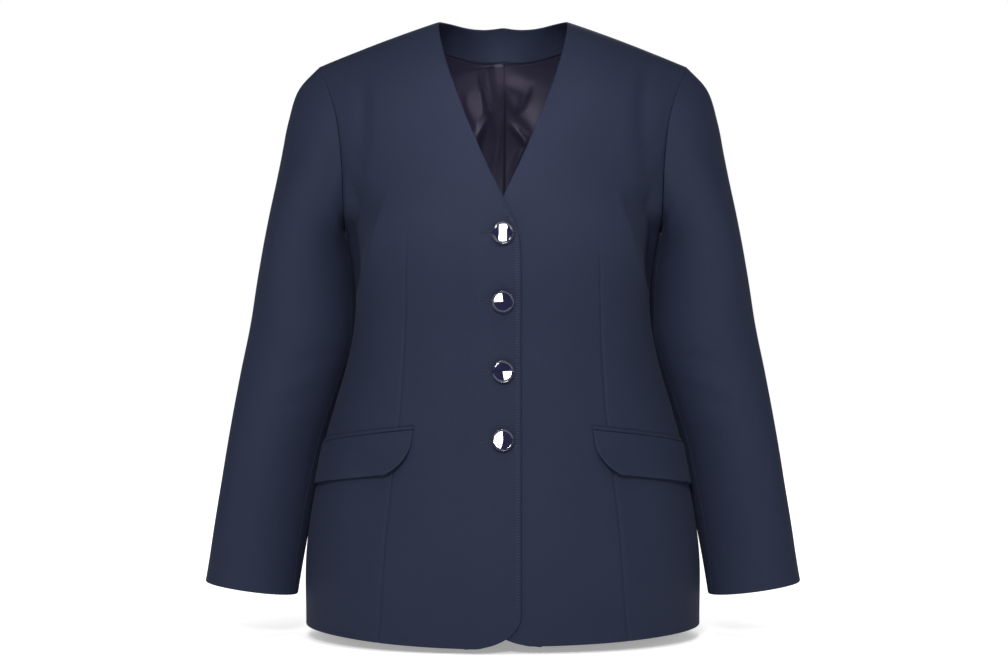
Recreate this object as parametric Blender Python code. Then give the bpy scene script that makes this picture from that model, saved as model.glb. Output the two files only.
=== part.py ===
"""A collarless four-button blazer, filled out as if worn. Metres, +Z up, front facing -Y.

The origin lies between the side neck points, where the wearer's shoulders carry the jacket.
"Right" and "left" are the wearer's: the right side has negative X.
"""

import math
from collections import namedtuple

import bmesh
import bpy
from mathutils import Vector

# The wearer's sides, as the sign of X
RIGHT, LEFT = -1, 1

# Cloth thicknesses and the gap at a seam
FRONT_WALL = 0.0020
BACK_WALL = 0.0016
SLEEVE_WALL = 0.0016
FLAP_WALL = 0.0020
WELT_WALL = 0.0014
FACING_WALL = 0.0014
LINING_WALL = 0.0010
SEAM_GAP = 0.0003
SEAM_EDGE = 0.0002
LAID_GAP = 0.0005
ARMHOLE_GAP = 0.0007

# Neck, front edge and overlap
NECK_HALF_WIDTH = 0.075
NECK_BACK_DEPTH = 0.078
V_DEPTH = 0.2105
V_BOW = 1.38
OVERLAP = 0.020
OVERLAP_LIFT_START = 0.030
CORNER_WIDTH = 0.046
CORNER_HEIGHT = 0.036
FACING_DEPTH = 0.036
FACING_BACK_DEPTH = 0.096
LINING_HEM = 0.022
LINING_EASE = 0.0022
PLEAT_OVER = 0.003
PLEAT_UNDER = 0.006
HEM_DIP = {RIGHT: 0.009, LEFT: 0.006}

# Pocket: places on the front are shares of the way round to the side seam
POCKET_FRONT = 0.30
POCKET_REAR = 0.93
POCKET_FRONT_LEVEL = 0.2340
POCKET_REAR_LEVEL = 0.2130
FLAP_HEIGHT = 0.0530
FLAP_CORNER_SHARE = 0.155
FLAP_CORNER_HEIGHT = 0.034
FLAP_STANDS_OFF = 0.0025
WELT_HEIGHT = 0.0050

# Buttons
BUTTON_RADIUS = 0.01225
BUTTON_THICKNESS = 0.0042
BUTTON_SHANK_RADIUS = 0.0030
BUTTON_STANDOFF = 0.0026
BUTTON_HEIGHTS = (-0.2515, -0.3250, -0.4035, -0.4785)

# Sections of the body. A section runs round from the centre line to the side seam or armhole.
# centre_z, edge_z: heights at its two ends. edge_x: its half width. turn: the edge's depth as a
# share of the centre's depth. depth: how far the centre stands out. square: 2 is an ellipse.
Section = namedtuple("Section", "centre_z edge_z edge_x turn depth square")

# Height, half width, front depth, back depth, squareness in front and behind, below the armholes
Girth = namedtuple("Girth", "z half_width front back front_square back_square")
GIRTHS = (
    Girth(-0.697, 0.2285, 0.165, 0.155, 2.3, 2.3),
    Girth(-0.612, 0.2280, 0.166, 0.154, 2.3, 2.3),
    Girth(-0.532, 0.2160, 0.160, 0.148, 2.3, 2.3),
    Girth(-0.482, 0.2060, 0.155, 0.139, 2.3, 2.3),
    Girth(-0.440, 0.1940, 0.151, 0.129, 2.3, 2.3),
    Girth(-0.397, 0.1815, 0.148, 0.119, 2.3, 2.3),
    Girth(-0.357, 0.1735, 0.147, 0.112, 2.3, 2.3),
    Girth(-0.330, 0.1710, 0.1512, 0.110, 2.4, 2.3),
    Girth(-0.290, 0.1740, 0.1578, 0.112, 2.6, 2.3),
    Girth(-0.262, 0.1790, 0.1606, 0.116, 2.7, 2.3),
    Girth(-0.240, 0.1840, 0.1608, 0.119, 2.7, 2.3),
)
FRONT_CHEST = (
    Section(-0.235, -0.2370, 0.1838, 0.123, 0.1604, 2.65),
    Section(-0.218, -0.2220, 0.1830, 0.275, 0.1576, 2.50),
    Section(-0.182, -0.1920, 0.1830, 0.390, 0.1468, 2.20),
    Section(-0.136, -0.1540, 0.1850, 0.455, 0.1265, 2.05),
    Section(-0.089, -0.1190, 0.1895, 0.500, 0.1040, 2.00),
    Section(-0.046, -0.0910, 0.1970, 0.540, 0.0800, 2.00),
    Section(-0.013, -0.0730, 0.2040, 0.577, 0.0550, 2.00),
    Section(0.0065, -0.0620, 0.2095, 0.589, 0.0360, 2.00),
    Section(0.0160, -0.0550, 0.2130, 0.585, 0.0210, 2.00),
)
SHOULDER_SEAM = Section(0.0205, -0.0515, 0.2150, 0.583, 0.0060, 2.00)
BACK_SHOULDER = (
    Section(0.0235, -0.0505, 0.2150, 0.570, 0.0090, 2.00),
    Section(0.0245, -0.0525, 0.2130, 0.560, 0.0270, 2.00),
    Section(0.0225, -0.0590, 0.2095, 0.580, 0.0460, 2.00),
    Section(0.0165, -0.0670, 0.2050, 0.600, 0.0610, 2.00),
    Section(0.0070, -0.0770, 0.2000, 0.605, 0.0750, 2.00),
    Section(-0.007, -0.0890, 0.1950, 0.600, 0.0880, 2.00),
    Section(-0.027, -0.1040, 0.1905, 0.590, 0.0990, 2.00),
    Section(-0.054, -0.1240, 0.1868, 0.570, 0.1080, 2.00),
    Section(-0.089, -0.1480, 0.1842, 0.540, 0.1150, 2.05),
    Section(-0.131, -0.1760, 0.1828, 0.490, 0.1200, 2.15),
    Section(-0.181, -0.2080, 0.1826, 0.390, 0.1220, 2.25),
    Section(-0.218, -0.2280, 0.1832, 0.265, 0.1212, 2.30),
    Section(-0.235, -0.2370, 0.1838, 0.140, 0.1198, 2.30),
)
SHOULDER_TILT = 1.25
EVEN = 1.25

# Sections of a sleeve below the armhole: its inner and outer corners as seen from the front, its
# half depth, its centre's y, how far its front is turned outward and its back toward the body,
# and how far it has changed from the armhole's shape to an oval
Cuffward = namedtuple("Cuffward", "inner_x inner_z outer_x outer_z half_depth y swing oval")
SLEEVE = (
    Cuffward(0.1848, -0.2440, 0.2385, -0.0760, 0.064, 0.001, 0.000, 0.15),
    Cuffward(0.1848, -0.2480, 0.2510, -0.1140, 0.068, 0.002, 0.004, 0.40),
    Cuffward(0.1840, -0.2540, 0.2590, -0.1560, 0.070, 0.003, 0.014, 0.70),
    Cuffward(0.1806, -0.2640, 0.2672, -0.2000, 0.070, 0.004, 0.019, 0.90),
    Cuffward(0.1755, -0.2820, 0.2745, -0.2400, 0.068, 0.005, 0.024, 1.00),
    Cuffward(0.1722, -0.3140, 0.2845, -0.2920, 0.065, 0.006, 0.028, 1.00),
    Cuffward(0.1718, -0.3640, 0.2935, -0.3500, 0.062, 0.006, 0.030, 1.00),
    Cuffward(0.1885, -0.4200, 0.3035, -0.4040, 0.058, 0.003, 0.028, 1.00),
    Cuffward(0.2085, -0.4820, 0.3141, -0.4660, 0.054, -0.003, 0.024, 1.00),
    Cuffward(0.2208, -0.5420, 0.3241, -0.5260, 0.049, -0.010, 0.020, 1.00),
    Cuffward(0.2310, -0.6080, 0.3349, -0.5920, 0.044, -0.018, 0.012, 1.00),
    Cuffward(0.2375, -0.6620, 0.3432, -0.6460, 0.041, -0.024, 0.006, 1.00),
)
FOREARM_SEAM = math.radians(163)
HINDARM_SEAM = math.radians(-100)
SLEEVE_SEAM_TURN = math.radians(0.18)

# How finely the cloth is divided
FRONT_COLUMNS = 12
BACK_COLUMNS = 11
LINING_COLUMNS = 7
SLEEVE_ROWS = 23
TOP_SLEEVE_COLUMNS = 15
UNDER_SLEEVE_COLUMNS = 7
POCKET_COLUMNS = 20

SUITING = ("navy_suiting", (0.030, 0.038, 0.066), 0.85)
LINING = ("navy_lining", (0.018, 0.018, 0.030), 0.45)
RESIN = ("navy_resin", (0.012, 0.013, 0.037), 0.12)


def smooth_step(low, high, value):
    """0 below low, 1 above high, and a soft rise between them."""
    share = min(1.0, max(0.0, (value - low) / (high - low)))
    return share * share * (3 - 2 * share)


def curve_through(knots, values):
    """A smooth curve through values at unevenly spaced knots."""
    slopes = [(b - a) / (q - p) for p, q, a, b in zip(knots, knots[1:], values, values[1:])]
    steps = [q - p for p, q in zip(knots, knots[1:])]
    tangents = [slopes[0]]
    for before, after, step_before, step_after in zip(slopes, slopes[1:], steps, steps[1:]):
        tangents.append((before * step_after + after * step_before) / (step_before + step_after))
    tangents.append(slopes[-1])

    def value_at(knot):
        index = 0
        while index < len(steps) - 1 and knot > knots[index + 1]:
            index += 1
        step = steps[index]
        share = (knot - knots[index]) / step
        rise = share * share * (3 - 2 * share)
        start_pull = share * (1 - share) ** 2 * step * tangents[index]
        end_pull = share * share * (share - 1) * step * tangents[index + 1]
        return values[index] * (1 - rise) + values[index + 1] * rise + start_pull + end_pull

    return value_at


class Form:
    """The outside of one half of the front or back, through a table of sections.

    A level is the distance up the cloth from the hem. Around is 0 at the centre line and 1 at
    the side seam or armhole, and negative past the centre.
    """

    def __init__(self, sections, facing):
        self.facing = facing
        self.levels = [0.0]
        for low, high in zip(sections, sections[1:]):
            at_centre = math.hypot(high.centre_z - low.centre_z, high.depth - low.depth)
            edge_rise = high.turn * high.depth - low.turn * low.depth
            at_edge = math.dist((low.edge_x, low.edge_z, 0), (high.edge_x, high.edge_z, edge_rise))
            self.levels.append(self.levels[-1] + (at_centre + at_edge) / 2)
        self.columns = [curve_through(self.levels, column) for column in zip(*sections)]

    def section(self, level):
        return Section(*(column(level) for column in self.columns))

    def end_angle(self, section):
        least = SEAM_EDGE / max(abs(section.depth), 0.001)
        return math.acos(min(0.995, max(section.turn, least)) ** (section.square / 2))

    def point(self, around, level):
        section = self.section(level)
        end = self.end_angle(section)
        angle = abs(around) * end
        share = (math.sin(angle) / math.sin(end)) ** (2 / section.square)
        out = section.depth * max(0.0, math.cos(angle)) ** (2 / section.square)
        drop = section.edge_z - section.centre_z
        height = section.centre_z + drop * share**SHOULDER_TILT
        across = math.copysign(share * section.edge_x, around)
        return Vector((across, self.facing * out, height))

    def around_at(self, across, level):
        section = self.section(level)
        end = self.end_angle(section)
        share = min(1.0, abs(across) / section.edge_x) ** (section.square / 2)
        return math.copysign(math.asin(share * math.sin(end)) / end, across)

    def normal(self, around, level):
        """The outward direction, the same for neighbours at a shared seam."""
        step = 0.002
        near = max(0.004, abs(around))
        near = min(0.996, near)
        along = self.point(near + step, level) - self.point(near - step, level)
        up = self.point(near, level + step) - self.point(near, level - step)
        out = along.cross(up).normalized() * -self.facing
        if abs(around) < 0.02:
            out.x *= abs(around) / 0.02
        if around < 0:
            out.x = -out.x
        return out.normalized()

    def raised(self, around, level, height):
        return self.point(around, level) + self.normal(around, level) * height


def low_sections(front):
    """The sections below the armholes, as the front's or the back's."""
    made = []
    for girth in GIRTHS:
        depth = girth.front if front else girth.back
        square = girth.front_square if front else girth.back_square
        made.append(Section(girth.z, girth.z, girth.half_width, 0.0, depth, square))
    return made


def with_depth(section, sign):
    return section._replace(depth=section.depth * sign)


def build_forms():
    """The front's and the back's form. Each has one section past the shoulder seam, for its slope."""
    front = low_sections(True) + list(FRONT_CHEST) + [SHOULDER_SEAM, with_depth(BACK_SHOULDER[0], -1)]
    back = low_sections(False) + list(reversed(BACK_SHOULDER))
    back += [with_depth(SHOULDER_SEAM, -1), with_depth(FRONT_CHEST[-1], -1)]
    return Form(front, -1), Form(back, 1)


FRONT, BACK = build_forms()
FRONT_TOP = FRONT.levels[-2]
BACK_TOP = BACK.levels[-2]


def hem_dip(depth):
    """The hem hangs a little lower at the centre front than at the sides, by this depth."""

    def dip(around, level):
        centred = 1 - smooth_step(0.0, 0.85, abs(around))
        return -depth * centred * (1 - smooth_step(0.0, 0.2, level))

    return dip


def neck_x(height):
    """Half width of the V neckline at a height, carried on below its point."""
    share = max(0.0, -height) / V_DEPTH
    return NECK_HALF_WIDTH * (1 - share**V_BOW)


def front_edge(level):
    """How far from the centre, on its own side, a front's edge lies, but for its lower corner."""
    across = -OVERLAP
    for _ in range(12):
        height = FRONT.point(FRONT.around_at(across, level), level).z
        wanted = neck_x(height)
        softness = 0.004
        bend = math.hypot(wanted + OVERLAP, softness)
        across = (wanted - OVERLAP + bend) / 2
    return across


def front_start(level):
    """Where a front panel starts at a level, with its rounded lower corner."""
    across = front_edge(level)
    if level < CORNER_HEIGHT:
        share = 1 - level / CORNER_HEIGHT
        across += CORNER_WIDTH * (1 - math.sqrt(max(0.0, 1 - share * share)))
    return across


def level_with_depth(across, depth):
    """The level near the neck where the back, this far from its centre, lies at this depth."""
    low, high = BACK.levels[len(GIRTHS) + 2], BACK_TOP
    for _ in range(40):
        middle = (low + high) / 2
        if BACK.point(BACK.around_at(across, middle), middle).y > depth:
            low = middle
        else:
            high = middle
    return (low + high) / 2


def neck_depth(margin):
    return NECK_BACK_DEPTH + margin * (FACING_BACK_DEPTH - NECK_BACK_DEPTH)


def neck_place(turn, margin):
    """A place on the back's neckline, or a margin of 0 to 1 below it across the facing.

    Turn is 0 at the nape and a quarter turn at the shoulder seam.
    """
    across = (NECK_HALF_WIDTH + margin * FACING_DEPTH) * math.sin(turn)
    seam_depth = BACK.point(0, BACK_TOP).y
    depth = seam_depth + (neck_depth(margin) - seam_depth) * math.cos(turn)
    level = level_with_depth(across, depth)
    return across, level


def spread(low, high, steps):
    return [low + (high - low) * step / steps for step in range(steps + 1)]


def even_to_around(share):
    """Turns an even share of the cloth's width into a share of the angle round the body."""
    near, far = abs(share) ** EVEN, (1 - abs(share)) ** EVEN
    return math.copysign(near / (near + far), share)


def around_to_even(around):
    ratio = (abs(around) / max(1e-9, 1 - abs(around))) ** (1 / EVEN)
    return math.copysign(ratio / (1 + ratio), around)


def evenly_round(start, end, columns):
    """Places round the body that divide the cloth into columns of about the same width."""
    shares = spread(around_to_even(start), around_to_even(end), columns)
    return [even_to_around(share) for share in shares]


def rows_between(levels, longest):
    """The levels, with more between any two that lie further apart than longest."""
    made = [levels[0]]
    for low, high in zip(levels, levels[1:]):
        steps = max(1, math.ceil((high - low) / longest))
        made += spread(low, high, steps)[1:]
    return made


def overlap_lift(own_x, level):
    """The top front rises over the under front's edge."""
    under_edge = -front_edge(level)
    risen = smooth_step(-OVERLAP_LIFT_START, 0.0, under_edge + 0.004 - own_x)
    return risen * (FRONT_WALL + 2 * LAID_GAP)


class Panel:
    """Half of the front or back as a grid of points on its form, with the wall's two faces.

    Each row is where it starts, as a share of the way round, and its level.
    """

    def __init__(self, form, rows, columns, wall, lift=None, dip=None):
        self.rows = rows
        self.columns = columns
        self.normals, self.outer, self.inner = [], [], []
        for start, level in rows:
            normals, skin, inside = [], [], []
            for around in evenly_round(start, 1.0, columns):
                point = form.point(around, level)
                out = form.normal(around, level)
                raised = lift(point.x, level) if lift else 0.0
                if dip:
                    point.z += dip(around, level)
                normals.append(out)
                skin.append(point + out * raised)
                inside.append(point + out * (raised - wall))
            self.normals.append(normals)
            self.outer.append(skin)
            self.inner.append(inside)

    def laid(self, around, level, height):
        """A point moved out from the panel's outer face, or inward from its inner face."""
        row = 0
        while row < len(self.rows) - 2 and level > self.rows[row + 1][1]:
            row += 1
        (low_start, low), (high_start, high) = self.rows[row], self.rows[row + 1]
        up = (level - low) / (high - low)
        start = low_start + (high_start - low_start) * up
        first = around_to_even(start)
        place = (around_to_even(around) - first) / (1 - first) * self.columns
        column = min(self.columns - 1, max(0, int(place)))
        across = place - column

        def blend(grid):
            low_point = grid[row][column].lerp(grid[row][column + 1], across)
            high_point = grid[row + 1][column].lerp(grid[row + 1][column + 1], across)
            return low_point.lerp(high_point, up)

        face = self.outer if height >= 0 else self.inner
        return blend(face) + blend(self.normals).normalized() * height


def mirrored(grid, side):
    return [[Vector((side * point.x, point.y, point.z)) for point in row] for row in grid]


def material_named(look):
    name, colour, roughness = look
    found = bpy.data.materials.get(name)
    if found:
        return found
    made = bpy.data.materials.new(name)
    made.use_nodes = True
    shader = made.node_tree.nodes["Principled BSDF"]
    shader.inputs["Base Color"].default_value = (*colour, 1.0)
    shader.inputs["Roughness"].default_value = roughness
    shader.inputs["Metallic"].default_value = 0.0
    made.diffuse_color = (*colour, 1.0)
    return made


def add_object(name, mesh, look, collection):
    bmesh.ops.recalc_face_normals(mesh, faces=mesh.faces)
    if mesh.calc_volume(signed=True) < 0:
        bmesh.ops.reverse_faces(mesh, faces=mesh.faces)
    data = bpy.data.meshes.new(name)
    mesh.to_mesh(data)
    mesh.free()
    data.materials.append(material_named(look))
    made = bpy.data.objects.new(name, data)
    collection.objects.link(made)
    return made


def add_cloth(name, outer, inner, look, collection):
    """A wall of cloth: a flat slab whose two faces are laid on two grids of points."""
    rows, columns = len(outer) - 1, len(outer[0]) - 1
    mesh = bmesh.new()
    bmesh.ops.create_grid(mesh, x_segments=columns, y_segments=rows, size=1)
    made = bmesh.ops.extrude_face_region(mesh, geom=mesh.faces[:])
    far = [item for item in made["geom"] if isinstance(item, bmesh.types.BMVert)]
    bmesh.ops.translate(mesh, verts=far, vec=(0, 0, -1))
    for vertex in mesh.verts:
        grid = outer if vertex.co.z > -0.5 else inner
        row = round((vertex.co.y + 1) / 2 * rows)
        column = round((vertex.co.x + 1) / 2 * columns)
        vertex.co = grid[row][column]
    return add_object(name, mesh, look, collection)


def front_levels():
    corner = [CORNER_HEIGHT * (1 - math.cos(turn)) for turn in spread(0, math.pi / 2, 6)]
    knots = [level for level in FRONT.levels[1:-1] if level > CORNER_HEIGHT]
    levels = rows_between(corner + knots, 0.030)
    levels[-1] = FRONT_TOP - SEAM_EDGE
    return levels


def front_panel(side):
    """One front. The right one lies on top, as on a garment that buttons right over left."""
    rows = [(FRONT.around_at(front_start(level), level), level) for level in front_levels()]
    lift = overlap_lift if side == RIGHT else None
    return Panel(FRONT, rows, FRONT_COLUMNS, FRONT_WALL, lift, hem_dip(HEM_DIP[side]))


def back_rows(margin, centre_edge):
    """Where rows across half the back start, below the neckline or a margin of the facing."""
    nape = level_with_depth(0.0, neck_depth(margin))
    low = [level for level in BACK.levels if level < nape - 0.008]
    places = [(centre_edge, level) for level in rows_between(low + [nape], 0.048)]
    places += [neck_place(turn, margin) for turn in spread(0, math.pi / 2, 7)[1:]]
    rows = []
    for across, level in places:
        level = min(level, BACK_TOP - SEAM_EDGE)
        rows.append((BACK.around_at(max(across, centre_edge), level), level))
    return rows


def lining_slack(around, level):
    """How far the lining hangs off the back: close at its seams, loose between them."""
    from_side = 1 - smooth_step(0.75, 1.0, around)
    from_top = 1 - smooth_step(BACK_TOP - 0.09, BACK_TOP, level)
    return LAID_GAP + LINING_EASE * from_side * from_top


def add_lining(side, back, collection):
    """Half of the back lining. The right half folds over the left one in a centre pleat."""
    over = side == RIGHT
    name = "lining_back_right" if over else "lining_back_left"
    edge = -PLEAT_OVER if over else -PLEAT_UNDER
    rows = [(start, max(level, LINING_HEM)) for start, level in back_rows(1.02, edge)]
    grids = []
    for depth in (0.0, LINING_WALL):
        grid = []
        for start, level in rows:
            level = min(level, BACK_TOP - 0.0012)
            points = []
            for around in evenly_round(start, 0.996, LINING_COLUMNS):
                fold = (1 - smooth_step(0.03, 0.10, around)) * (LINING_WALL + 3 * LAID_GAP)
                height = lining_slack(around, level) + depth + (fold if over else 0.0)
                mirror = -1 if around < 0 else 1
                place = back.laid(max(abs(around), back.rows[0][0]), level, -height)
                points.append(Vector((mirror * place.x, place.y, place.z)))
            grid.append(points)
        grids.append(mirrored(grid, side))
    return add_cloth(name, *grids, LINING, collection)


def add_neck_facing(back, collection):
    """The band inside the back neck, from shoulder seam to shoulder seam."""
    grids = []
    for depth in (SEAM_GAP, SEAM_GAP + FACING_WALL):
        grid = []
        for margin in spread(0.0, 1.0, 3):
            points = []
            for turn in spread(-math.pi / 2, math.pi / 2, 20):
                across, level = neck_place(abs(turn), margin)
                level = min(level, BACK_TOP - 0.0010)
                around = max(BACK.around_at(across, level), back.rows[0][0])
                place = back.laid(around, level, -depth)
                points.append(Vector((math.copysign(place.x, turn), place.y, place.z)))
            grid.append(points)
        grids.append(grid)
    return add_cloth("neck_facing_back", *grids, SUITING, collection)


def pocket_point(front, along, down, height):
    """A point off a front, along the pocket from its front end and down from its seam."""
    around = POCKET_FRONT + (POCKET_REAR - POCKET_FRONT) * along
    level = POCKET_FRONT_LEVEL + (POCKET_REAR_LEVEL - POCKET_FRONT_LEVEL) * along - down
    return front.laid(around, level, height)


def flap_start(down):
    """The rounded front end of a flap, as a share of its length."""
    share = max(0.0, (down - FLAP_HEIGHT + FLAP_CORNER_HEIGHT) / FLAP_CORNER_HEIGHT)
    return FLAP_CORNER_SHARE * (1 - math.sqrt(max(0.0, 1 - share * share)))


def add_pocket(side, front, collection):
    word = "right" if side == RIGHT else "left"
    straight = FLAP_HEIGHT - FLAP_CORNER_HEIGHT
    downs = [0.0] + [straight + FLAP_CORNER_HEIGHT * math.sin(t) for t in spread(0, math.pi / 2, 5)]
    grids = []
    for depth in (FLAP_WALL, 0.0):
        grid = []
        for down in downs:
            stand = LAID_GAP + FLAP_STANDS_OFF * smooth_step(0.0, FLAP_HEIGHT, down) + depth
            shares = spread(flap_start(down), 1.0, POCKET_COLUMNS)
            grid.append([pocket_point(front, along, down, stand) for along in shares])
        grids.append(mirrored(grid, side))
    add_cloth(f"pocket_flap_{word}", *grids, SUITING, collection)
    grids = []
    for depth in (WELT_WALL, 0.0):
        grid = [
            [pocket_point(front, along, -up, LAID_GAP + depth) for along in spread(0, 1, POCKET_COLUMNS)]
            for up in (SEAM_GAP, SEAM_GAP + WELT_HEIGHT)
        ]
        grids.append(mirrored(grid, side))
    add_cloth(f"pocket_welt_{word}", *grids, SUITING, collection)


def armhole(form, top, low_index, turns):
    """Points up one side of the armhole from the underarm, as the form's edge."""
    low = form.levels[low_index]
    return [form.point(1.0, level) for level in spread(low, top, turns)]


def armhole_ring(count):
    """The armhole as a ring of points at even angles: 0 at the shoulder, positive in front."""
    start = len(GIRTHS) - 1
    front = armhole(FRONT, FRONT_TOP, start, 160)
    back = armhole(BACK, BACK_TOP, start, 160)
    bottom, top = front[0], front[-1]
    centre = (bottom + top) / 2
    up = (top - bottom).normalized()
    loop = back[::-1] + front
    places = []
    for point in loop:
        offset = point - centre
        angle = math.atan2(-offset.y, offset.dot(up))
        places.append((angle, point))
    places.sort(key=lambda place: place[0])
    angles = [place[0] for place in places]
    ring = []
    for step in range(count + 1):
        angle = -math.pi + 2 * math.pi * step / count
        index = 0
        while index < len(angles) - 2 and angle > angles[index + 1]:
            index += 1
        span = angles[index + 1] - angles[index]
        share = min(1.0, max(0.0, (angle - angles[index]) / span)) if span > 1e-9 else 0.0
        ring.append(places[index][1].lerp(places[index + 1][1], share))
    return centre, up, ring


ARMHOLE_STEPS = 72
ARMHOLE_CENTRE, ARMHOLE_UP, ARMHOLE_RING = armhole_ring(ARMHOLE_STEPS)


def armhole_point(angle):
    place = (angle + math.pi) / (2 * math.pi) * ARMHOLE_STEPS
    index = min(ARMHOLE_STEPS - 1, max(0, int(place)))
    return ARMHOLE_RING[index].lerp(ARMHOLE_RING[index + 1], place - index)


def sleeve_section(row, angle):
    """A point of one of the sleeve's sections at an angle round the arm."""
    inner = Vector((row.inner_x, row.y, row.inner_z))
    outer = Vector((row.outer_x, row.y, row.outer_z))
    centre, half = (inner + outer) / 2, (outer - inner) / 2
    straight = math.sqrt(half.length_squared - row.swing**2) / half.length
    sideways = Vector((row.swing, -row.half_depth, 0)) * math.sin(angle)
    oval = centre + half * straight * math.cos(angle) + sideways
    seam = armhole_point(angle) - ARMHOLE_CENTRE
    height = seam.dot(ARMHOLE_UP)
    span = (armhole_point(0) - ARMHOLE_CENTRE).length
    aside = seam - ARMHOLE_UP * height
    shaped = centre + half * (height / span)
    shaped += Vector((aside.x, aside.y * row.half_depth / 0.058, 0))
    return shaped.lerp(oval, row.oval)


def wrap(angle):
    return (angle + math.pi) % (2 * math.pi) - math.pi


def sleeve_point(angle, down):
    """A point of the sleeve's outside: down is 0 at the armhole and 1 at the cuff."""
    angle = wrap(angle)
    seam = armhole_point(angle) + Vector((ARMHOLE_GAP, 0, 0))
    points = [seam] + [sleeve_section(row, angle) for row in SLEEVE]
    return Vector([curve_through(SLEEVE_KNOTS, [p[axis] for p in points])(down) for axis in range(3)])


def sleeve_knots():
    """The share of the sleeve's length at each section, along its centre line."""
    centres = [ARMHOLE_CENTRE]
    centres += [Vector(((r.inner_x + r.outer_x) / 2, r.y, (r.inner_z + r.outer_z) / 2)) for r in SLEEVE]
    knots = [0.0]
    for near, far in zip(centres, centres[1:]):
        knots.append(knots[-1] + (far - near).length)
    return [knot / knots[-1] for knot in knots]


SLEEVE_KNOTS = sleeve_knots()


def sleeve_normal(angle, down):
    step = 0.004
    low, high = max(0.0, down - step), min(1.0, down + step)
    around = sleeve_point(angle + 0.02, down) - sleeve_point(angle - 0.02, down)
    along = sleeve_point(angle, high) - sleeve_point(angle, low)
    return around.cross(along).normalized()


def clear_of_body(out):
    """The sleeve head's wall direction at the seam, so that its inner edge stays off the body."""
    return Vector((min(0.0, out.x), out.y, out.z)).normalized()


def add_sleeve_piece(side, name, from_angle, to_angle, columns, collection):
    outer, inner = [], []
    for down in sleeve_levels():
        skin, inside = [], []
        for angle in spread(from_angle + SLEEVE_SEAM_TURN, to_angle - SLEEVE_SEAM_TURN, columns):
            point = sleeve_point(angle, down)
            out = sleeve_normal(angle, down)
            if down == 0.0:
                out = clear_of_body(out)
            for points, depth in ((skin, 0.0), (inside, SLEEVE_WALL)):
                place = point - out * depth
                points.append(Vector((side * place.x, place.y, place.z)))
        outer.append(skin)
        inner.append(inside)
    word = "right" if side == RIGHT else "left"
    return add_cloth(f"sleeve_{name}_{word}", outer, inner, SUITING, collection)


def sleeve_levels():
    return [share**1.25 for share in spread(0.0, 1.0, SLEEVE_ROWS)]


def add_sleeve(side, collection):
    add_sleeve_piece(side, "top", HINDARM_SEAM, FOREARM_SEAM, TOP_SLEEVE_COLUMNS, collection)
    under_end = HINDARM_SEAM + 2 * math.pi
    add_sleeve_piece(side, "under", FOREARM_SEAM, under_end, UNDER_SLEEVE_COLUMNS, collection)


def level_at_height(height):
    """The front's level on the centre line at a height."""
    low, high = 0.0, FRONT_TOP
    for _ in range(40):
        middle = (low + high) / 2
        if FRONT.point(0.0, middle).z < height:
            low = middle
        else:
            high = middle
    return (low + high) / 2


def add_button(number, height, collection):
    """A domed button on a shank, turned about its axis and set on the overlap."""
    level = level_at_height(height)
    out = FRONT.normal(0.0, level)
    lift = overlap_lift(0.0, level) + SEAM_GAP
    face = BUTTON_STANDOFF + BUTTON_THICKNESS
    profile = (
        (0.0, 0.0),
        (BUTTON_SHANK_RADIUS, 0.0),
        (BUTTON_SHANK_RADIUS, BUTTON_STANDOFF),
        (BUTTON_RADIUS * 0.80, BUTTON_STANDOFF),
        (BUTTON_RADIUS * 0.97, BUTTON_STANDOFF + 0.0011),
        (BUTTON_RADIUS, BUTTON_STANDOFF + 0.0022),
        (BUTTON_RADIUS * 0.97, BUTTON_STANDOFF + 0.0032),
        (BUTTON_RADIUS * 0.89, face - 0.0006),
        (BUTTON_RADIUS * 0.50, face - 0.0001),
        (0.0, face),
    )
    mesh = bmesh.new()
    line = [mesh.verts.new((radius, 0, rise)) for radius, rise in profile]
    edges = [mesh.edges.new(pair) for pair in zip(line, line[1:])]
    bmesh.ops.spin(
        mesh, geom=line + edges, cent=(0, 0, 0), axis=(0, 0, 1), angle=math.tau, steps=20
    )
    bmesh.ops.remove_doubles(mesh, verts=mesh.verts, dist=1e-5)
    made = add_object(f"button_{number}", mesh, RESIN, collection)
    made.rotation_mode = "QUATERNION"
    made.rotation_quaternion = out.to_track_quat("Z", "Y")
    made.location = FRONT.point(0.0, level) + out * lift
    return made


def main():
    for old in list(bpy.data.objects):
        bpy.data.objects.remove(old)
    collection = bpy.data.collections.new("blazer")
    bpy.context.scene.collection.children.link(collection)
    fronts = {side: front_panel(side) for side in (RIGHT, LEFT)}
    back = Panel(BACK, back_rows(0.0, SEAM_EDGE), BACK_COLUMNS, BACK_WALL)
    for side, word in ((RIGHT, "right"), (LEFT, "left")):
        front = fronts[side]
        for name, panel in (("front", front), ("back", back)):
            grids = mirrored(panel.outer, side), mirrored(panel.inner, side)
            add_cloth(f"{name}_{word}", *grids, SUITING, collection)
        add_lining(side, back, collection)
        add_sleeve(side, collection)
        add_pocket(side, front, collection)
    add_neck_facing(back, collection)
    for number, height in enumerate(BUTTON_HEIGHTS, start=1):
        add_button(number, height, collection)


main()
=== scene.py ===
"""The looks of the collarless blazer: cloth shells, stitching, buttons, light and camera."""

import math
from collections import namedtuple

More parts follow.
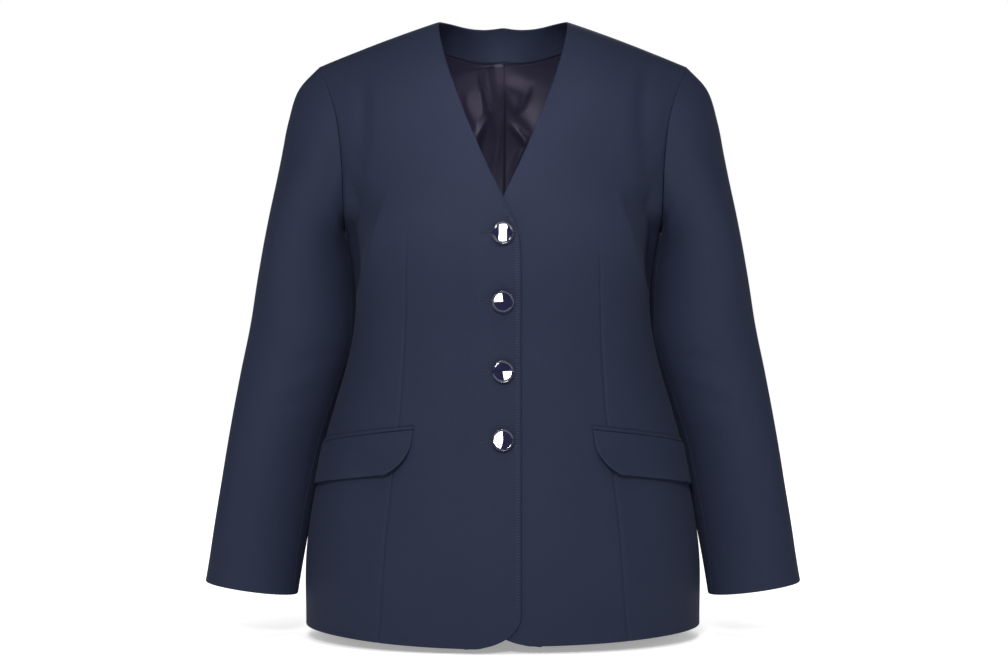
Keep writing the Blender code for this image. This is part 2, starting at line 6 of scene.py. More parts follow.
import bmesh
import bpy
import numpy as np
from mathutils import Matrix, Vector


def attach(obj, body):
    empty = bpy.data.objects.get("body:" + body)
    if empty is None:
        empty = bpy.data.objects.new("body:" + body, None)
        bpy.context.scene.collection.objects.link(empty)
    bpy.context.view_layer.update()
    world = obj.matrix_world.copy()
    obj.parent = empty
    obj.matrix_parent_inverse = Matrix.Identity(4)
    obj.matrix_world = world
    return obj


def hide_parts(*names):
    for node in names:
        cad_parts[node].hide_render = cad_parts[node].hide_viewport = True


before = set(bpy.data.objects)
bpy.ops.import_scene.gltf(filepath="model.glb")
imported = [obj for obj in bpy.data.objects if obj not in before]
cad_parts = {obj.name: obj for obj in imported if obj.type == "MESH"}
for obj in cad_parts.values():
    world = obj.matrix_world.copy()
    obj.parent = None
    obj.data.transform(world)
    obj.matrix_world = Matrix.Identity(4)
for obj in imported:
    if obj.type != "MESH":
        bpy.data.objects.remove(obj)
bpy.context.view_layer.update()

RIGHT, LEFT = -1, 1
SIDES = ((RIGHT, "right"), (LEFT, "left"))
FINE = 1.0

# Cloth and seams, in metres
FRONT_WALL = 0.0020
BACK_WALL = 0.0016
SLEEVE_WALL = 0.0016
FLAP_WALL = 0.0018
WELT_WALL = 0.0012
FACING_WALL = 0.0014
LINING_WALL = 0.0008
LAID_GAP = 0.0005
NECK_HALF_WIDTH = 0.075
NECK_BACK_DEPTH = 0.0757
V_DEPTH = 0.2105
V_BOW = 1.38
OVERLAP = 0.020
CORNER_WIDTH = 0.060
CORNER_HEIGHT = 0.036
FACING_DEPTH = 0.042
FACING_BACK_DEPTH = 0.1010
HEM_DIP = {RIGHT: 0.009, LEFT: 0.006}
LINING_HEM = 0.022
POCKET_FRONT = 0.288
POCKET_REAR = 0.93
POCKET_FRONT_LEVEL = 0.2308
POCKET_REAR_LEVEL = 0.2098
POCKET_LENGTH = 0.168
FLAP_HEIGHT = 0.0480
FLAP_CORNER_SHARE = 0.155
FLAP_CORNER_HEIGHT = 0.034
WELT_HEIGHT = 0.0050
BUTTON_HEIGHTS = (-0.2515, -0.3250, -0.4035, -0.4785)
SHOULDER_TILT = 1.25
FLOOR_LEVEL = -0.712

# How far apart the rows of a grid lie, and how far from an edge or a dart those beside it lie
CLOTH_STEP = 0.0034
BACK_STEP = 0.0036
LINING_STEP = 0.0045
FLAP_STEP = 0.0016
EDGE_STEPS = (0.0005, 0.0011, 0.0019, 0.0030, 0.0045, 0.0065)
DART_STEPS = (0.0006, 0.0014, 0.0026, 0.0050)
# On a row shorter than this, the columns beside its edges draw together
SHORT_ROW = 0.05
NECK_ROWS = int(40 * FINE)
# Points on each row that its columns are measured off from
DENSE_COUNT = 241

# Where cloth turns over: how far from the edge the turn starts, and how far it sinks
PRESSED_EDGE = (0.0014, 0.0008)
SEAM_EDGE = (0.0012, 0.0006)
BROAD_SEAM_EDGE = (0.0014, 0.0007)
FLAP_EDGE = (0.0016, 0.0010)
# About how wide half of the front or back is
PANEL_WIDTH = 0.25
# The long dart's groove, and the heights between which it fades out
DART_DEPTH = 0.0011
DART_WIDTH = 0.0013
DART_END = (-0.30, -0.23)
# The slow swells of hanging cloth: their height, and the seeds of the panels' random draws
SWELL = 0.0006
SLEEVE_SWELL = 0.0004
FRONT_SEED, BACK_SEED, SLEEVE_SEED = 3, 11, 41
# How close to a side seam or the centre back seam the creases fade out
SEAM_CALM = 0.012

# The garment's sections, as in its solids
Section = namedtuple("Section", "centre_z edge_z edge_x turn depth square")
Girth = namedtuple("Girth", "z half_width front back front_square")
BACK_SQUARE = 2.3
GIRTHS = (
    Girth(-0.697, 0.2285, 0.165, 0.155, 2.3),
    Girth(-0.612, 0.2280, 0.166, 0.154, 2.3),
    Girth(-0.532, 0.2160, 0.160, 0.148, 2.3),
    Girth(-0.482, 0.2060, 0.155, 0.139, 2.3),
    Girth(-0.440, 0.1940, 0.151, 0.129, 2.3),
    Girth(-0.397, 0.1815, 0.148, 0.119, 2.3),
    Girth(-0.357, 0.1735, 0.147, 0.112, 2.3),
    Girth(-0.330, 0.1710, 0.1512, 0.110, 2.4),
    Girth(-0.290, 0.1740, 0.1578, 0.112, 2.6),
    Girth(-0.262, 0.1790, 0.1606, 0.116, 2.7),
    Girth(-0.240, 0.1840, 0.1608, 0.119, 2.7),
)
FRONT_CHEST = (
    Section(-0.235, -0.2370, 0.1838, 0.123, 0.1604, 2.65),
    Section(-0.218, -0.2220, 0.1830, 0.275, 0.1576, 2.50),
    Section(-0.182, -0.1920, 0.1830, 0.390, 0.1468, 2.20),
    Section(-0.136, -0.1540, 0.1850, 0.455, 0.1265, 2.05),
    Section(-0.089, -0.1190, 0.1895, 0.500, 0.1040, 2.00),
    Section(-0.046, -0.0910, 0.1970, 0.540, 0.0800, 2.00),
    Section(-0.013, -0.0730, 0.2040, 0.577, 0.0550, 2.00),
    Section(0.0065, -0.0620, 0.2095, 0.589, 0.0360, 2.00),
    Section(0.0160, -0.0550, 0.2130, 0.585, 0.0210, 2.00),
)
SHOULDER_SEAM = Section(0.0205, -0.0515, 0.2150, 0.583, 0.0060, 2.00)
BACK_SHOULDER = (
    Section(0.0235, -0.0505, 0.2150, 0.570, 0.0090, 2.00),
    Section(0.0245, -0.0525, 0.2130, 0.560, 0.0270, 2.00),
    Section(0.0225, -0.0590, 0.2095, 0.580, 0.0460, 2.00),
    Section(0.0165, -0.0670, 0.2050, 0.600, 0.0610, 2.00),
    Section(0.0070, -0.0770, 0.2000, 0.605, 0.0750, 2.00),
    Section(-0.007, -0.0890, 0.1950, 0.600, 0.0880, 2.00),
    Section(-0.027, -0.1040, 0.1905, 0.590, 0.0990, 2.00),
    Section(-0.054, -0.1240, 0.1868, 0.570, 0.1080, 2.00),
    Section(-0.089, -0.1480, 0.1842, 0.540, 0.1150, 2.05),
    Section(-0.131, -0.1760, 0.1828, 0.490, 0.1200, 2.15),
    Section(-0.181, -0.2080, 0.1826, 0.390, 0.1220, 2.25),
    Section(-0.218, -0.2280, 0.1832, 0.265, 0.1212, 2.30),
    Section(-0.235, -0.2370, 0.1838, 0.140, 0.1198, 2.30),
)
# Below the elbow, and just under the armhole, the cloth's inner side hangs up to 4 mm nearer to
# the body than the solid's, and its forearm seam lies up to 15 mm nearer
Cuffward = namedtuple("Cuffward", "inner_x inner_z outer_x outer_z half_depth y swing oval")
SLEEVE = (
    Cuffward(0.1848, -0.2440, 0.2385, -0.0760, 0.064, 0.001, 0.000, 0.15),
    Cuffward(0.1832, -0.2480, 0.2510, -0.1140, 0.068, 0.002, 0.004, 0.40),
    Cuffward(0.1800, -0.2540, 0.2590, -0.1560, 0.070, 0.003, 0.010, 0.70),
    Cuffward(0.1772, -0.2640, 0.2672, -0.2000, 0.070, 0.004, 0.012, 0.90),
    Cuffward(0.1732, -0.2820, 0.2745, -0.2400, 0.068, 0.005, 0.012, 1.00),
    Cuffward(0.1722, -0.3140, 0.2845, -0.2920, 0.065, 0.006, 0.010, 1.00),
    Cuffward(0.1718, -0.3640, 0.2935, -0.3500, 0.062, 0.006, 0.010, 1.00),
    Cuffward(0.1872, -0.4200, 0.3035, -0.4040, 0.058, 0.003, 0.012, 1.00),
    Cuffward(0.2052, -0.4820, 0.3141, -0.4660, 0.054, -0.003, 0.016, 1.00),
    Cuffward(0.2176, -0.5420, 0.3241, -0.5260, 0.049, -0.010, 0.017, 1.00),
    Cuffward(0.2293, -0.6080, 0.3349, -0.5920, 0.044, -0.018, 0.015, 1.00),
    Cuffward(0.2375, -0.6620, 0.3432, -0.6460, 0.041, -0.024, 0.006, 1.00),
)
FOREARM_SEAM = math.radians(166)
HINDARM_SEAM = math.radians(-100)

# Camera and lights
CAMERA_PLACE = (0.0012, -2.5, -0.364)
CAMERA_LENS = 76.5
MAIN_BOX_PLACE = (-0.25, -3.0, 0.95)
# The unlit stretch of the studio that the dark parts of the buttons mirror
DARK_PLACE = (0.75, -3.0, 0.05)
WHITE = (1, 1, 1, 1)
AMBIENT = 0.07
LAMP_AIM = (0.0, 0.0, -0.30)
SOFTBOXES = (
    ("main softbox", MAIN_BOX_PLACE, 0.6, 60),
    ("top softbox", (0.1, -1.5, 2.2), 1.3, 17),
    ("left softbox", (-2.6, -1.0, 0.3), 1.0, 1.8),
    ("right softbox", (2.6, -1.0, 0.3), 1.0, 1.8),
    ("back softbox", (0.4, 2.8, 0.9), 1.6, 24),
)
# Two narrow lamps, low in front, that brighten the neck facing and the lining
NECK_LAMPS = (("left neck lamp", (-0.55, -2.4, -0.60)), ("right neck lamp", (0.55, -2.4, -0.60)))
NECK_LAMP_SIZE = 0.15
NECK_LAMP_POWER = 0.048
NECK_LAMP_SPREAD = math.radians(8)
NECK_LAMP_AIM = (0.0, 0.06, -0.07)
# The floor's glow as the blazer gets it, as a share of what the camera sees
FLOOR_GLOW_ON_CLOTH = 0.35

# The long dart's line on a front: height and distance from the centre
DART_LINE = (
    (-0.700, 0.139),
    (-0.671, 0.136),
    (-0.583, 0.130),
    (-0.523, 0.123),
    (-0.445, 0.114),
    (-0.368, 0.110),
    (-0.305, 0.108),
    (-0.250, 0.107),
    (-0.150, 0.112),
    (0.030, 0.135),
)


def soft_step(low, high, value):
    """0 below low, 1 above high, and a soft rise between them."""
    share = np.clip((value - low) / (high - low), 0.0, 1.0)
    return share * share * (3 - 2 * share)


def bump(value, centre, width):
    """A soft hump of height 1."""
    return np.exp(-(((value - centre) / width) ** 2))


def curve_through(knots, values, places):
    """A smooth curve through values at unevenly spaced knots, read at several places."""
    knots = np.asarray(knots, float)
    values = np.asarray(values, float)
    steps = np.diff(knots)
    spread_steps = steps.reshape((-1,) + (1,) * (values.ndim - 1))
    slopes = np.diff(values, axis=0) / spread_steps
    inner = slopes[:-1] * spread_steps[1:] + slopes[1:] * spread_steps[:-1]
    inner = inner / (spread_steps[:-1] + spread_steps[1:])
    tangents = np.concatenate((slopes[:1], inner, slopes[-1:]))
    places = np.asarray(places, float)
    index = np.clip(np.searchsorted(knots, places, side="left") - 1, 0, len(steps) - 1)
    extra = (1,) * (values.ndim - 1)
    step = steps[index].reshape(places.shape + extra)
    share = ((places - knots[index]) / steps[index]).reshape(places.shape + extra)
    rise = share * share * (3 - 2 * share)
    start_pull = share * (1 - share) ** 2 * step * tangents[index]
    end_pull = share * share * (share - 1) * step * tangents[index + 1]
    return values[index] * (1 - rise) + values[index + 1] * rise + start_pull + end_pull


class Form:
    """The outside of one half of the front or back. Around is 0 at the centre, 1 at the side."""

    def __init__(self, sections, facing):
        self.facing = facing
        levels = [0.0]
        for low, high in zip(sections, sections[1:]):
            at_centre = math.hypot(high.centre_z - low.centre_z, high.depth - low.depth)
            edge_rise = high.turn * high.depth - low.turn * low.depth
            at_edge = math.dist((low.edge_x, low.edge_z, 0), (high.edge_x, high.edge_z, edge_rise))
            levels.append(levels[-1] + (at_centre + at_edge) / 2)
        self.levels = np.array(levels)
        self.table = np.array(sections, float)

    def section(self, level):
        return Section(*np.moveaxis(curve_through(self.levels, self.table, level), -1, 0))

    def end_angle(self, section):
        least = 0.0002 / np.maximum(np.abs(section.depth), 0.001)
        return np.arccos(np.minimum(0.995, np.maximum(section.turn, least)) ** (section.square / 2))

    def points(self, around, level):
        """Points for arrays of around and level that fit each other's shape."""
        section = self.section(level)
        end = self.end_angle(section)
        angle = np.abs(around) * end
        share = (np.sin(angle) / np.sin(end)) ** (2 / section.square)
        out = section.depth * np.maximum(0.0, np.cos(angle)) ** (2 / section.square)
        drop = section.edge_z - section.centre_z
        height = section.centre_z + drop * share**SHOULDER_TILT
        across = np.sign(around) * share * section.edge_x
        return np.stack(np.broadcast_arrays(across, self.facing * out, height), axis=-1)

    def around_at(self, across, level):
        section = self.section(level)
        end = self.end_angle(section)
        share = np.minimum(1.0, np.abs(across) / section.edge_x) ** (section.square / 2)
        return np.sign(across) * np.arcsin(share * np.sin(end)) / end

    def normals(self, around, level):
        """Outward directions, the same for neighbours at a shared seam."""
        step = 0.002
        near = np.clip(np.abs(around), 0.004, 0.996)
        along = self.points(near + step, level) - self.points(near - step, level)
        up = self.points(near, level + step) - self.points(near, level - step)
        out = np.cross(along, up) * -self.facing
        out = out / np.linalg.norm(out, axis=-1, keepdims=True)
        out[..., 0] *= np.minimum(1.0, np.abs(around) / 0.02) * np.where(around < 0, -1.0, 1.0)
        return out / np.linalg.norm(out, axis=-1, keepdims=True)


def low_sections(front):
    made = []
    for girth in GIRTHS:
        depth = girth.front if front else girth.back
        square = girth.front_square if front else BACK_SQUARE
        made.append(Section(girth.z, girth.z, girth.half_width, 0.0, depth, square))
    return made


def turned(section):
    return section._replace(depth=-section.depth)


def build_forms():
    front = low_sections(True) + list(FRONT_CHEST) + [SHOULDER_SEAM, turned(BACK_SHOULDER[0])]
    back = low_sections(False) + list(reversed(BACK_SHOULDER))
    back += [turned(SHOULDER_SEAM), turned(FRONT_CHEST[-1])]
    return Form(front, -1), Form(back, 1)


FRONT, BACK = build_forms()
FRONT_TOP = FRONT.levels[-2]
BACK_TOP = BACK.levels[-2]
# The section where the armhole begins
ARMHOLE_ROW = len(GIRTHS) - 1


def spaced(length, step, near_start=(), near_end=()):
    """Places from 0 to length: given distances from the two ends, and even ones between them."""
    first = near_start[-1] if near_start else 0.0
    last = length - (near_end[-1] if near_end else 0.0)
    count = max(2, int(round((last - first) / step)))
    places = [0.0] + list(near_start[:-1])
    places += list(np.linspace(first, last, count + 1))
    if not near_start:
        places = places[1:]
    places += [length - near for near in reversed(near_end[:-1])] + ([length] if near_end else [])
    return np.array(places)


def front_edge(level):
    """How far from the centre, on its own side, a front's edge lies, but for its lower corner."""
    across = np.full(np.shape(level), -OVERLAP)
    for _ in range(14):
        height = FRONT.points(FRONT.around_at(across, level), level)[..., 2]
        share = np.maximum(0.0, -height) / V_DEPTH
        wanted = NECK_HALF_WIDTH * (1 - share**V_BOW)
        across = (wanted - OVERLAP + np.hypot(wanted + OVERLAP, 0.004)) / 2
    return across


def front_start(level):
    across = front_edge(level)
    share = np.clip(1 - level / CORNER_HEIGHT, 0.0, 1.0)
    return across + CORNER_WIDTH * (1 - np.sqrt(1 - share * share))


def overlap_lift(own_x, level):
    """The top front rises over the under front's edge."""
    under_edge = -front_edge(level)
    return soft_step(-0.030, 0.0, under_edge + 0.004 - own_x) * (FRONT_WALL + 2 * LAID_GAP)


def neck_level(across, depth):
    """The level near the neck where the back, this far from its centre, lies at this depth."""
    low = np.full(np.shape(across), BACK.levels[ARMHOLE_ROW + 3])
    high = np.full(np.shape(across), BACK_TOP)
    for _ in range(30):
        middle = (low + high) / 2
        beyond = BACK.points(BACK.around_at(across, middle), middle)[..., 1] > depth
        low = np.where(beyond, middle, low)
        high = np.where(beyond, high, middle)
    return (low + high) / 2


def neck_rows(margin, nape):
    """Rows from the nape to the shoulder seam, each a little higher than the one before."""
    across, levels = neck_place(np.linspace(0, math.pi / 2, NECK_ROWS + 1)[1:], margin)
    higher = levels > nape + 0.0004
    return across[higher], levels[higher]


def neck_place(turn, margin):
    """A place on the back's neckline, or a margin of 0 to 1 below it across the facing."""
    across = (NECK_HALF_WIDTH + margin * FACING_DEPTH) * np.sin(turn)
    depth = NECK_BACK_DEPTH + margin * (FACING_BACK_DEPTH - NECK_BACK_DEPTH)
    seam_depth = BACK.points(np.array(0.0), np.array(BACK_TOP))[1]
    level = neck_level(across, seam_depth + (depth - seam_depth) * np.cos(turn))
    return across, np.minimum(level, BACK_TOP)


def grid_normals(points, facing_out):
    """Unit normals of a grid of points, pointing the way of facing_out."""
    along = np.gradient(points, axis=1)
    up = np.gradient(points, axis=0)
    normal = np.cross(along, up)
    length = np.linalg.norm(normal, axis=-1, keepdims=True)
    normal = normal / np.maximum(length, 1e-12)
    middle = normal[normal.shape[0] // 2, normal.shape[1] // 2]
    if np.dot(middle, facing_out) < 0:
        normal = -normal
    return normal


def arcs_of(points):
    """Distances along each row of a grid of points."""
    steps = np.linalg.norm(np.diff(points, axis=1), axis=-1)
    return np.concatenate((np.zeros((len(points), 1)), np.cumsum(steps, axis=1)), axis=1)


def spread(values, count):
    """One value a row, repeated over this many columns."""
    return np.repeat(values[:, None], count, axis=1)


def srgb(hex_colour, alpha=1.0):
    """A colour written as sRGB hex, turned to linear."""
    parts = [int(hex_colour[place : place + 2], 16) / 255 for place in (1, 3, 5)]
    linear = [part / 12.92 if part <= 0.04045 else ((part + 0.055) / 1.055) ** 2.4 for part in parts]
    return (*linear, alpha)


def fill(tree, node, inputs):
    """Links a node's inputs to other nodes' outputs, or sets them to values."""
    for name, source in inputs.items():
        if isinstance(source, bpy.types.NodeSocket):
            tree.links.new(source, node.inputs[name])
        else:
            node.inputs[name].default_value = source


def add_node(tree, kind, settings=None, inputs=None):
    node = tree.nodes.new(kind)
    for name, value in (settings or {}).items():
        setattr(node, name, value)
    fill(tree, node, inputs or {})
    return node


def add_bands(tree, place, direction, inputs):
    """Fine parallel bands: a rib, a twist, or the threads of a lining."""
    settings = {"wave_type": "BANDS", "bands_direction": direction}
    return add_node(tree, "ShaderNodeTexWave", settings, {"Vector": place, **inputs}).outputs["Fac"]


def add_noise(tree, place, inputs):
    return add_node(tree, "ShaderNodeTexNoise", inputs={"Vector": place, **inputs}).outputs["Fac"]


def add_mix(tree, share, colour, other_colour):
    inputs = {"Factor": share, "A": srgb(colour), "B": srgb(other_colour)}
    return add_node(tree, "ShaderNodeMix", {"data_type": "RGBA"}, inputs).outputs["Result"]


def add_range(tree, share, low, high):
    """Turns a share of 0 to 1 into a value from low to high."""
    inputs = {"Value": share, "To Min": low, "To Max": high}
    return add_node(tree, "ShaderNodeMapRange", inputs=inputs).outputs["Result"]


def add_bump(tree, height, strength, distance):
    inputs = {"Height": height, "Strength": strength, "Distance": distance}
    return add_node(tree, "ShaderNodeBump", inputs=inputs).outputs["Normal"]


def start_material(name):
    material = bpy.data.materials.new(name)
    material.use_nodes = True
    tree = material.node_tree
    return material, tree, tree.nodes["Principled BSDF"]


def worsted_suiting(name, colour, light_colour):
    """Worsted twill suiting: matt, with a fine diagonal rib and a faint bloom of loose fibre."""
    material, tree, shader = start_material(name)
    cloth = add_node(tree, "ShaderNodeUVMap", {"uv_map": "cloth"}).outputs["UV"]
    # A real rib is 0.6 mm wide: drawn at 1.6 mm, so that it shows
    rib = add_bands(tree, cloth, "DIAGONAL", {"Scale": 190.0, "Distortion": 0.6, "Detail": 1.0})
    fleck = add_noise(tree, cloth, {"Scale": 900.0, "Detail": 3.0})
    cloud = add_noise(tree, cloth, {"Scale": 9.0, "Detail": 4.0})
    mix = add_mix(tree, fleck, colour, light_colour)
    shade = add_range(tree, cloud, 0.90, 1.10)
    tone = add_node(tree, "ShaderNodeHueSaturation", inputs={"Color": mix, "Value": shade})
    heights = add_node(
        tree, "ShaderNodeMath", {"operation": "MULTIPLY_ADD"}, {0: fleck, 1: 0.8, 2: rib}
    )
    looks = {
        "Base Color": tone.outputs["Color"],
        "Normal": add_bump(tree, heights.outputs["Value"], 0.10, 0.0004),
        "Roughness": 0.72,
        "Specular IOR Level": 0.12,
        "Sheen Weight": 0.06,
        "Sheen Roughness": 0.45,
        "Sheen Tint": srgb("#8c93ad"),
    }
    fill(tree, shader, looks)
    return material


def satin_lining(name, colour):
    """Acetate satin lining: darker than the shell, with a smooth silky gleam on each crease."""
    material, tree, shader = start_material(name)
    cloth = add_node(tree, "ShaderNodeUVMap", {"uv_map": "cloth"}).outputs["UV"]
    # Real threads lie 0.1 mm apart: drawn at 0.9 mm
    threads = add_bands(tree, cloth, "X", {"Scale": 350.0, "Distortion": 1.5, "Detail": 2.0})
    looks = {
        "Base Color": srgb(colour),
        "Normal": add_bump(tree, threads, 0.05, 0.0002),
        "Roughness": 0.36,
        "Specular IOR Level": 0.19,
        "Specular Tint": srgb("#d9d0ee"),
        "Sheen Weight": 0.05,
    }
    fill(tree, shader, looks)
    return material


def glossy_resin(name, colour, light_colour):
    """Polyester resin, polished: near black with a mirror-like surface."""
    material, tree, shader = start_material(name)
    place = add_node(tree, "ShaderNodeTexCoord").outputs["Object"]
    cloud = add_noise(tree, place, {"Scale": 220.0})
    looks = {
        "Base Color": add_mix(tree, cloud, colour, light_colour),
        "Roughness": 0.07,
        "IOR": 1.62,
        "Coat Weight": 1.0,
        "Coat Roughness": 0.03,
    }
    fill(tree, shader, looks)
    return material


def twisted_thread(name, colour):
    """Mercerised thread: a slight gleam on each twist, which sets it off from the matt cloth; also
    the near-black painted shade laid in the buttonholes' slits.
    """
    material, tree, shader = start_material(name)
    place = add_node(tree, "ShaderNodeTexCoord").outputs["Object"]
    twist = add_bands(tree, place, "DIAGONAL", {"Scale": 400.0})
    looks = {
        "Base Color": srgb(colour),
        "Normal": add_bump(tree, twist, 0.3, 0.0002),
        "Roughness": 0.5,
    }
    fill(tree, shader, looks)
    return material


SUITING = worsted_suiting("worsted_twill_suiting", "#252a3d", "#2a3045")
THREAD = twisted_thread("mercerised_navy_thread", "#2d3247")
# Painted shade: a near-black strip laid in each buttonhole's slit, where there is only shadow
SLIT = twisted_thread("painted_slit_shade", "#161824")
SUITING_INSIDE = satin_lining("acetate_satin_inside", "#1f1e2b")
LINING = satin_lining("acetate_satin_lining", "#262435")
RESIN = glossy_resin("polished_polyester_resin", "#17182e", "#232447")

# Each sheet of cloth: its wall, its materials outside and inside, slot, flat size and area
Sheet = namedtuple("Sheet", "wall materials slot flat area")
LINED = (SUITING, SUITING_INSIDE)
FRONT_SHEET = Sheet(FRONT_WALL, LINED, "suiting", (0.30, 0.73), 0.19)
BACK_SHEET = Sheet(BACK_WALL, LINED, "suiting", (0.29, 0.72), 0.183)
SLEEVE_TOP_SHEET = Sheet(SLEEVE_WALL, LINED, "suiting", (0.28, 0.63), 0.146)
SLEEVE_UNDER_SHEET = Sheet(SLEEVE_WALL, LINED, "suiting", (0.125, 0.53), 0.040)
LINING_SHEET = Sheet(LINING_WALL, (LINING,), "lining", (0.26, 0.69), 0.168)
FACING_SHEET = Sheet(FACING_WALL, (SUITING,), "suiting", (0.25, 0.056), 0.0134)
FLAP_SHEET = Sheet(FLAP_WALL, LINED, "suiting", (0.17, 0.053), 0.0086)
WELT_SHEET = Sheet(WELT_WALL, (SUITING,), "suiting", (0.17, 0.010), 0.0010)


def add_object(name, mesh, materials):
    """Turns a mesh under construction into a smooth object of the scene."""
    for face in mesh.faces:
        face.smooth = True
    data = bpy.data.meshes.new(name)
    mesh.to_mesh(data)
    mesh.free()
    for material in materials:
        data.materials.append(material)
    made = bpy.data.objects.new(name, data)
    bpy.context.scene.collection.objects.link(made)
    return made


def lay_cloth(node, sheet, points, outward, cloth_uv, side=LEFT):
    """A cloth shell in a solid's place: a grid laid on points, given its wall inward."""
    rows, columns = points.shape[0] - 1, points.shape[1] - 1
    mesh = bmesh.new()
    layer = mesh.loops.layers.uv.new("cloth")
    bmesh.ops.create_grid(mesh, x_segments=columns, y_segments=rows, size=1)
    place_of = {}
    for vertex in mesh.verts:
        row = round((vertex.co.y + 1) / 2 * rows)
        column = round((vertex.co.x + 1) / 2 * columns)
        place_of[vertex] = (row, column)
        x, y, z = points[row, column]
        vertex.co = (side * x, y, z)
    for face in mesh.faces:
        for loop in face.loops:
            loop[layer].uv = cloth_uv[place_of[loop.vert]]
    mesh.normal_update()

    def from_middle(vertex):
        row, column = place_of[vertex]
        return abs(row - rows // 2) + abs(column - columns // 2)

    middle = min(mesh.verts, key=from_middle)
    wanted = Vector(outward[place_of[middle]])
    wanted.x *= side
    if middle.normal.dot(wanted) < 0:
        bmesh.ops.reverse_faces(mesh, faces=mesh.faces)
    piece = add_object(f"cloth_{node}", mesh, sheet.materials)
    solid = piece.modifiers.new("cloth wall", "SOLIDIFY")
    solid.thickness = sheet.wall
    solid.offset = -1.0
    solid.material_offset = len(sheet.materials) - 1
    solid.material_offset_rim = 0
    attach(piece, "root")
    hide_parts(node)


def distance_to(line, across, level):
    """The distance of each place on flat cloth from a line, and how far along the line it lies."""
    line = np.asarray(line)
    lengths = np.concatenate(([0.0], np.cumsum(np.linalg.norm(np.diff(line, axis=0), axis=1))))
    nearest = np.full(across.shape, 9.0)
    along = np.zeros(across.shape)
    for start, end, begun in zip(line, line[1:], lengths):
        step = end - start
        length = max(1e-9, float(np.hypot(*step)))
        share = ((across - start[0]) * step[0] + (level - start[1]) * step[1]) / length**2
        share = np.clip(share, 0.0, 1.0)
        gap = np.hypot(across - start[0] - share * step[0], level - start[1] - share * step[1])
        closer = gap < nearest
        nearest = np.where(closer, gap, nearest)
        along = np.where(closer, begun + share * length, along)
    return nearest, along


def rolled(distance, edge=PRESSED_EDGE):
    """How far cloth sinks as it turns over an edge."""
    roll, drop = edge
    share = np.clip(1 - distance / roll, 0.0, 1.0)
    return -drop * share * share


def dart_dip(distance):
    """A dart's sewn line: a narrow groove with a slight swell beside it."""
    swell = 0.15 * DART_DEPTH * bump(distance, 4 * DART_WIDTH, 2 * DART_WIDTH)
    return -DART_DEPTH * bump(distance, 0.0, DART_WIDTH) + swell


def drift(across, along, seed):
    """Slow uneven swells, as cloth has where it hangs free."""
    total = np.zeros(np.shape(across))
    rng = np.random.default_rng(seed)
    waves = 7
    for _ in range(waves):
        wave_x, wave_y = rng.uniform(-26, 26), rng.uniform(-16, 16)
        total = total + np.sin(across * wave_x + along * wave_y + rng.uniform(0, 6.28))
    return total / waves


def eased(points, levels):
    """Smooths a front's rows where the armhole begins, so that no line crosses the bust."""
    share = 0.5 * bump(levels, FRONT.levels[ARMHOLE_ROW] + 0.003, 0.030)[1:-1, None, None]
    for _ in range(40):
        points[1:-1] += share * ((points[:-2] + points[2:]) / 2 - points[1:-1])
    return points


def shrink_to(length, middle_count, near_start, near_end):
    """Places along a length, close together near its ends and even between them."""
    scale = min(1.0, length / SHORT_ROW)
    first = [place * scale for place in near_start]
    last = [place * scale for place in near_end]
    count = max(4, int(middle_count * FINE))
    inner = np.linspace(first[-1], length - last[-1], count + 1)
    ends = [length - place for place in reversed(last[:-1])] + [length]
    return np.concatenate(([0.0], first[:-1], inner, ends))


def dense_rows(form, starts, levels):
    """Close places from each row's start to the side seam: around, points and distances along."""
    around = starts[:, None] + (1 - starts[:, None]) * np.linspace(0, 1, DENSE_COUNT)
    points = form.points(around, spread(levels, DENSE_COUNT))
    return around, points, arcs_of(points)


def read_rows(places, knots, values):
    """Each row's values, read at its places between its knots."""
    return np.array([np.interp(*row) for row in zip(places, knots, values)])


def front_grid():
    """A front's grid: points, normals, distance across, level, around and the dart's column."""
    levels = spaced(FRONT_TOP, CLOTH_STEP / FINE, EDGE_STEPS, EDGE_STEPS[:4])
    starts = FRONT.around_at(front_start(levels), levels)
    shares, dense_points, arcs = dense_rows(FRONT, starts, levels)
    dart_z, dart_x = np.array(DART_LINE).T
    dart_across = np.interp(dense_points[:, DENSE_COUNT // 2, 2], dart_z, dart_x)
    dart_arcs = read_rows(FRONT.around_at(dart_across, levels), shares, arcs)
    columns = []
    for dart_arc, whole in zip(dart_arcs, arcs[:, -1]):
        before = shrink_to(dart_arc, 34, EDGE_STEPS, DART_STEPS)
        after = dart_arc + shrink_to(whole - dart_arc, 34, DART_STEPS, EDGE_STEPS[:4])
        columns.append(np.concatenate((before, after[1:])))
    around = read_rows(columns, arcs, shares)
    level = spread(levels, around.shape[1])
    points = eased(FRONT.points(around, level), levels)
    normals = eased(FRONT.normals(around, level), levels)
    normals = normals / np.linalg.norm(normals, axis=-1, keepdims=True)
    centre_arc = read_rows(np.zeros(len(levels)), shares, arcs)
    centre_arc = np.where(starts < 0, centre_arc, -front_start(levels))
    across = np.array(columns) - centre_arc[:, None]
    return points, normals, across, level, around, len(before) - 1


# The fold under the bust: where its crest runs, as distance from the centre and height
BUST_FOLD = (
    (0.1240, -0.196),
    (0.1320, -0.214),
    (0.1425, -0.242),
    (0.1525, -0.272),
    (0.1605, -0.300),
    (0.1680, -0.335),
)

# The fold's hollow beside its crest, and the crest itself
BUST_HOLLOW_DEPTH = 0.0150
BUST_HOLLOW_WIDTH = 0.015
BUST_CREST_HEIGHT = 0.0012
BUST_CREST_WIDTH = 0.010

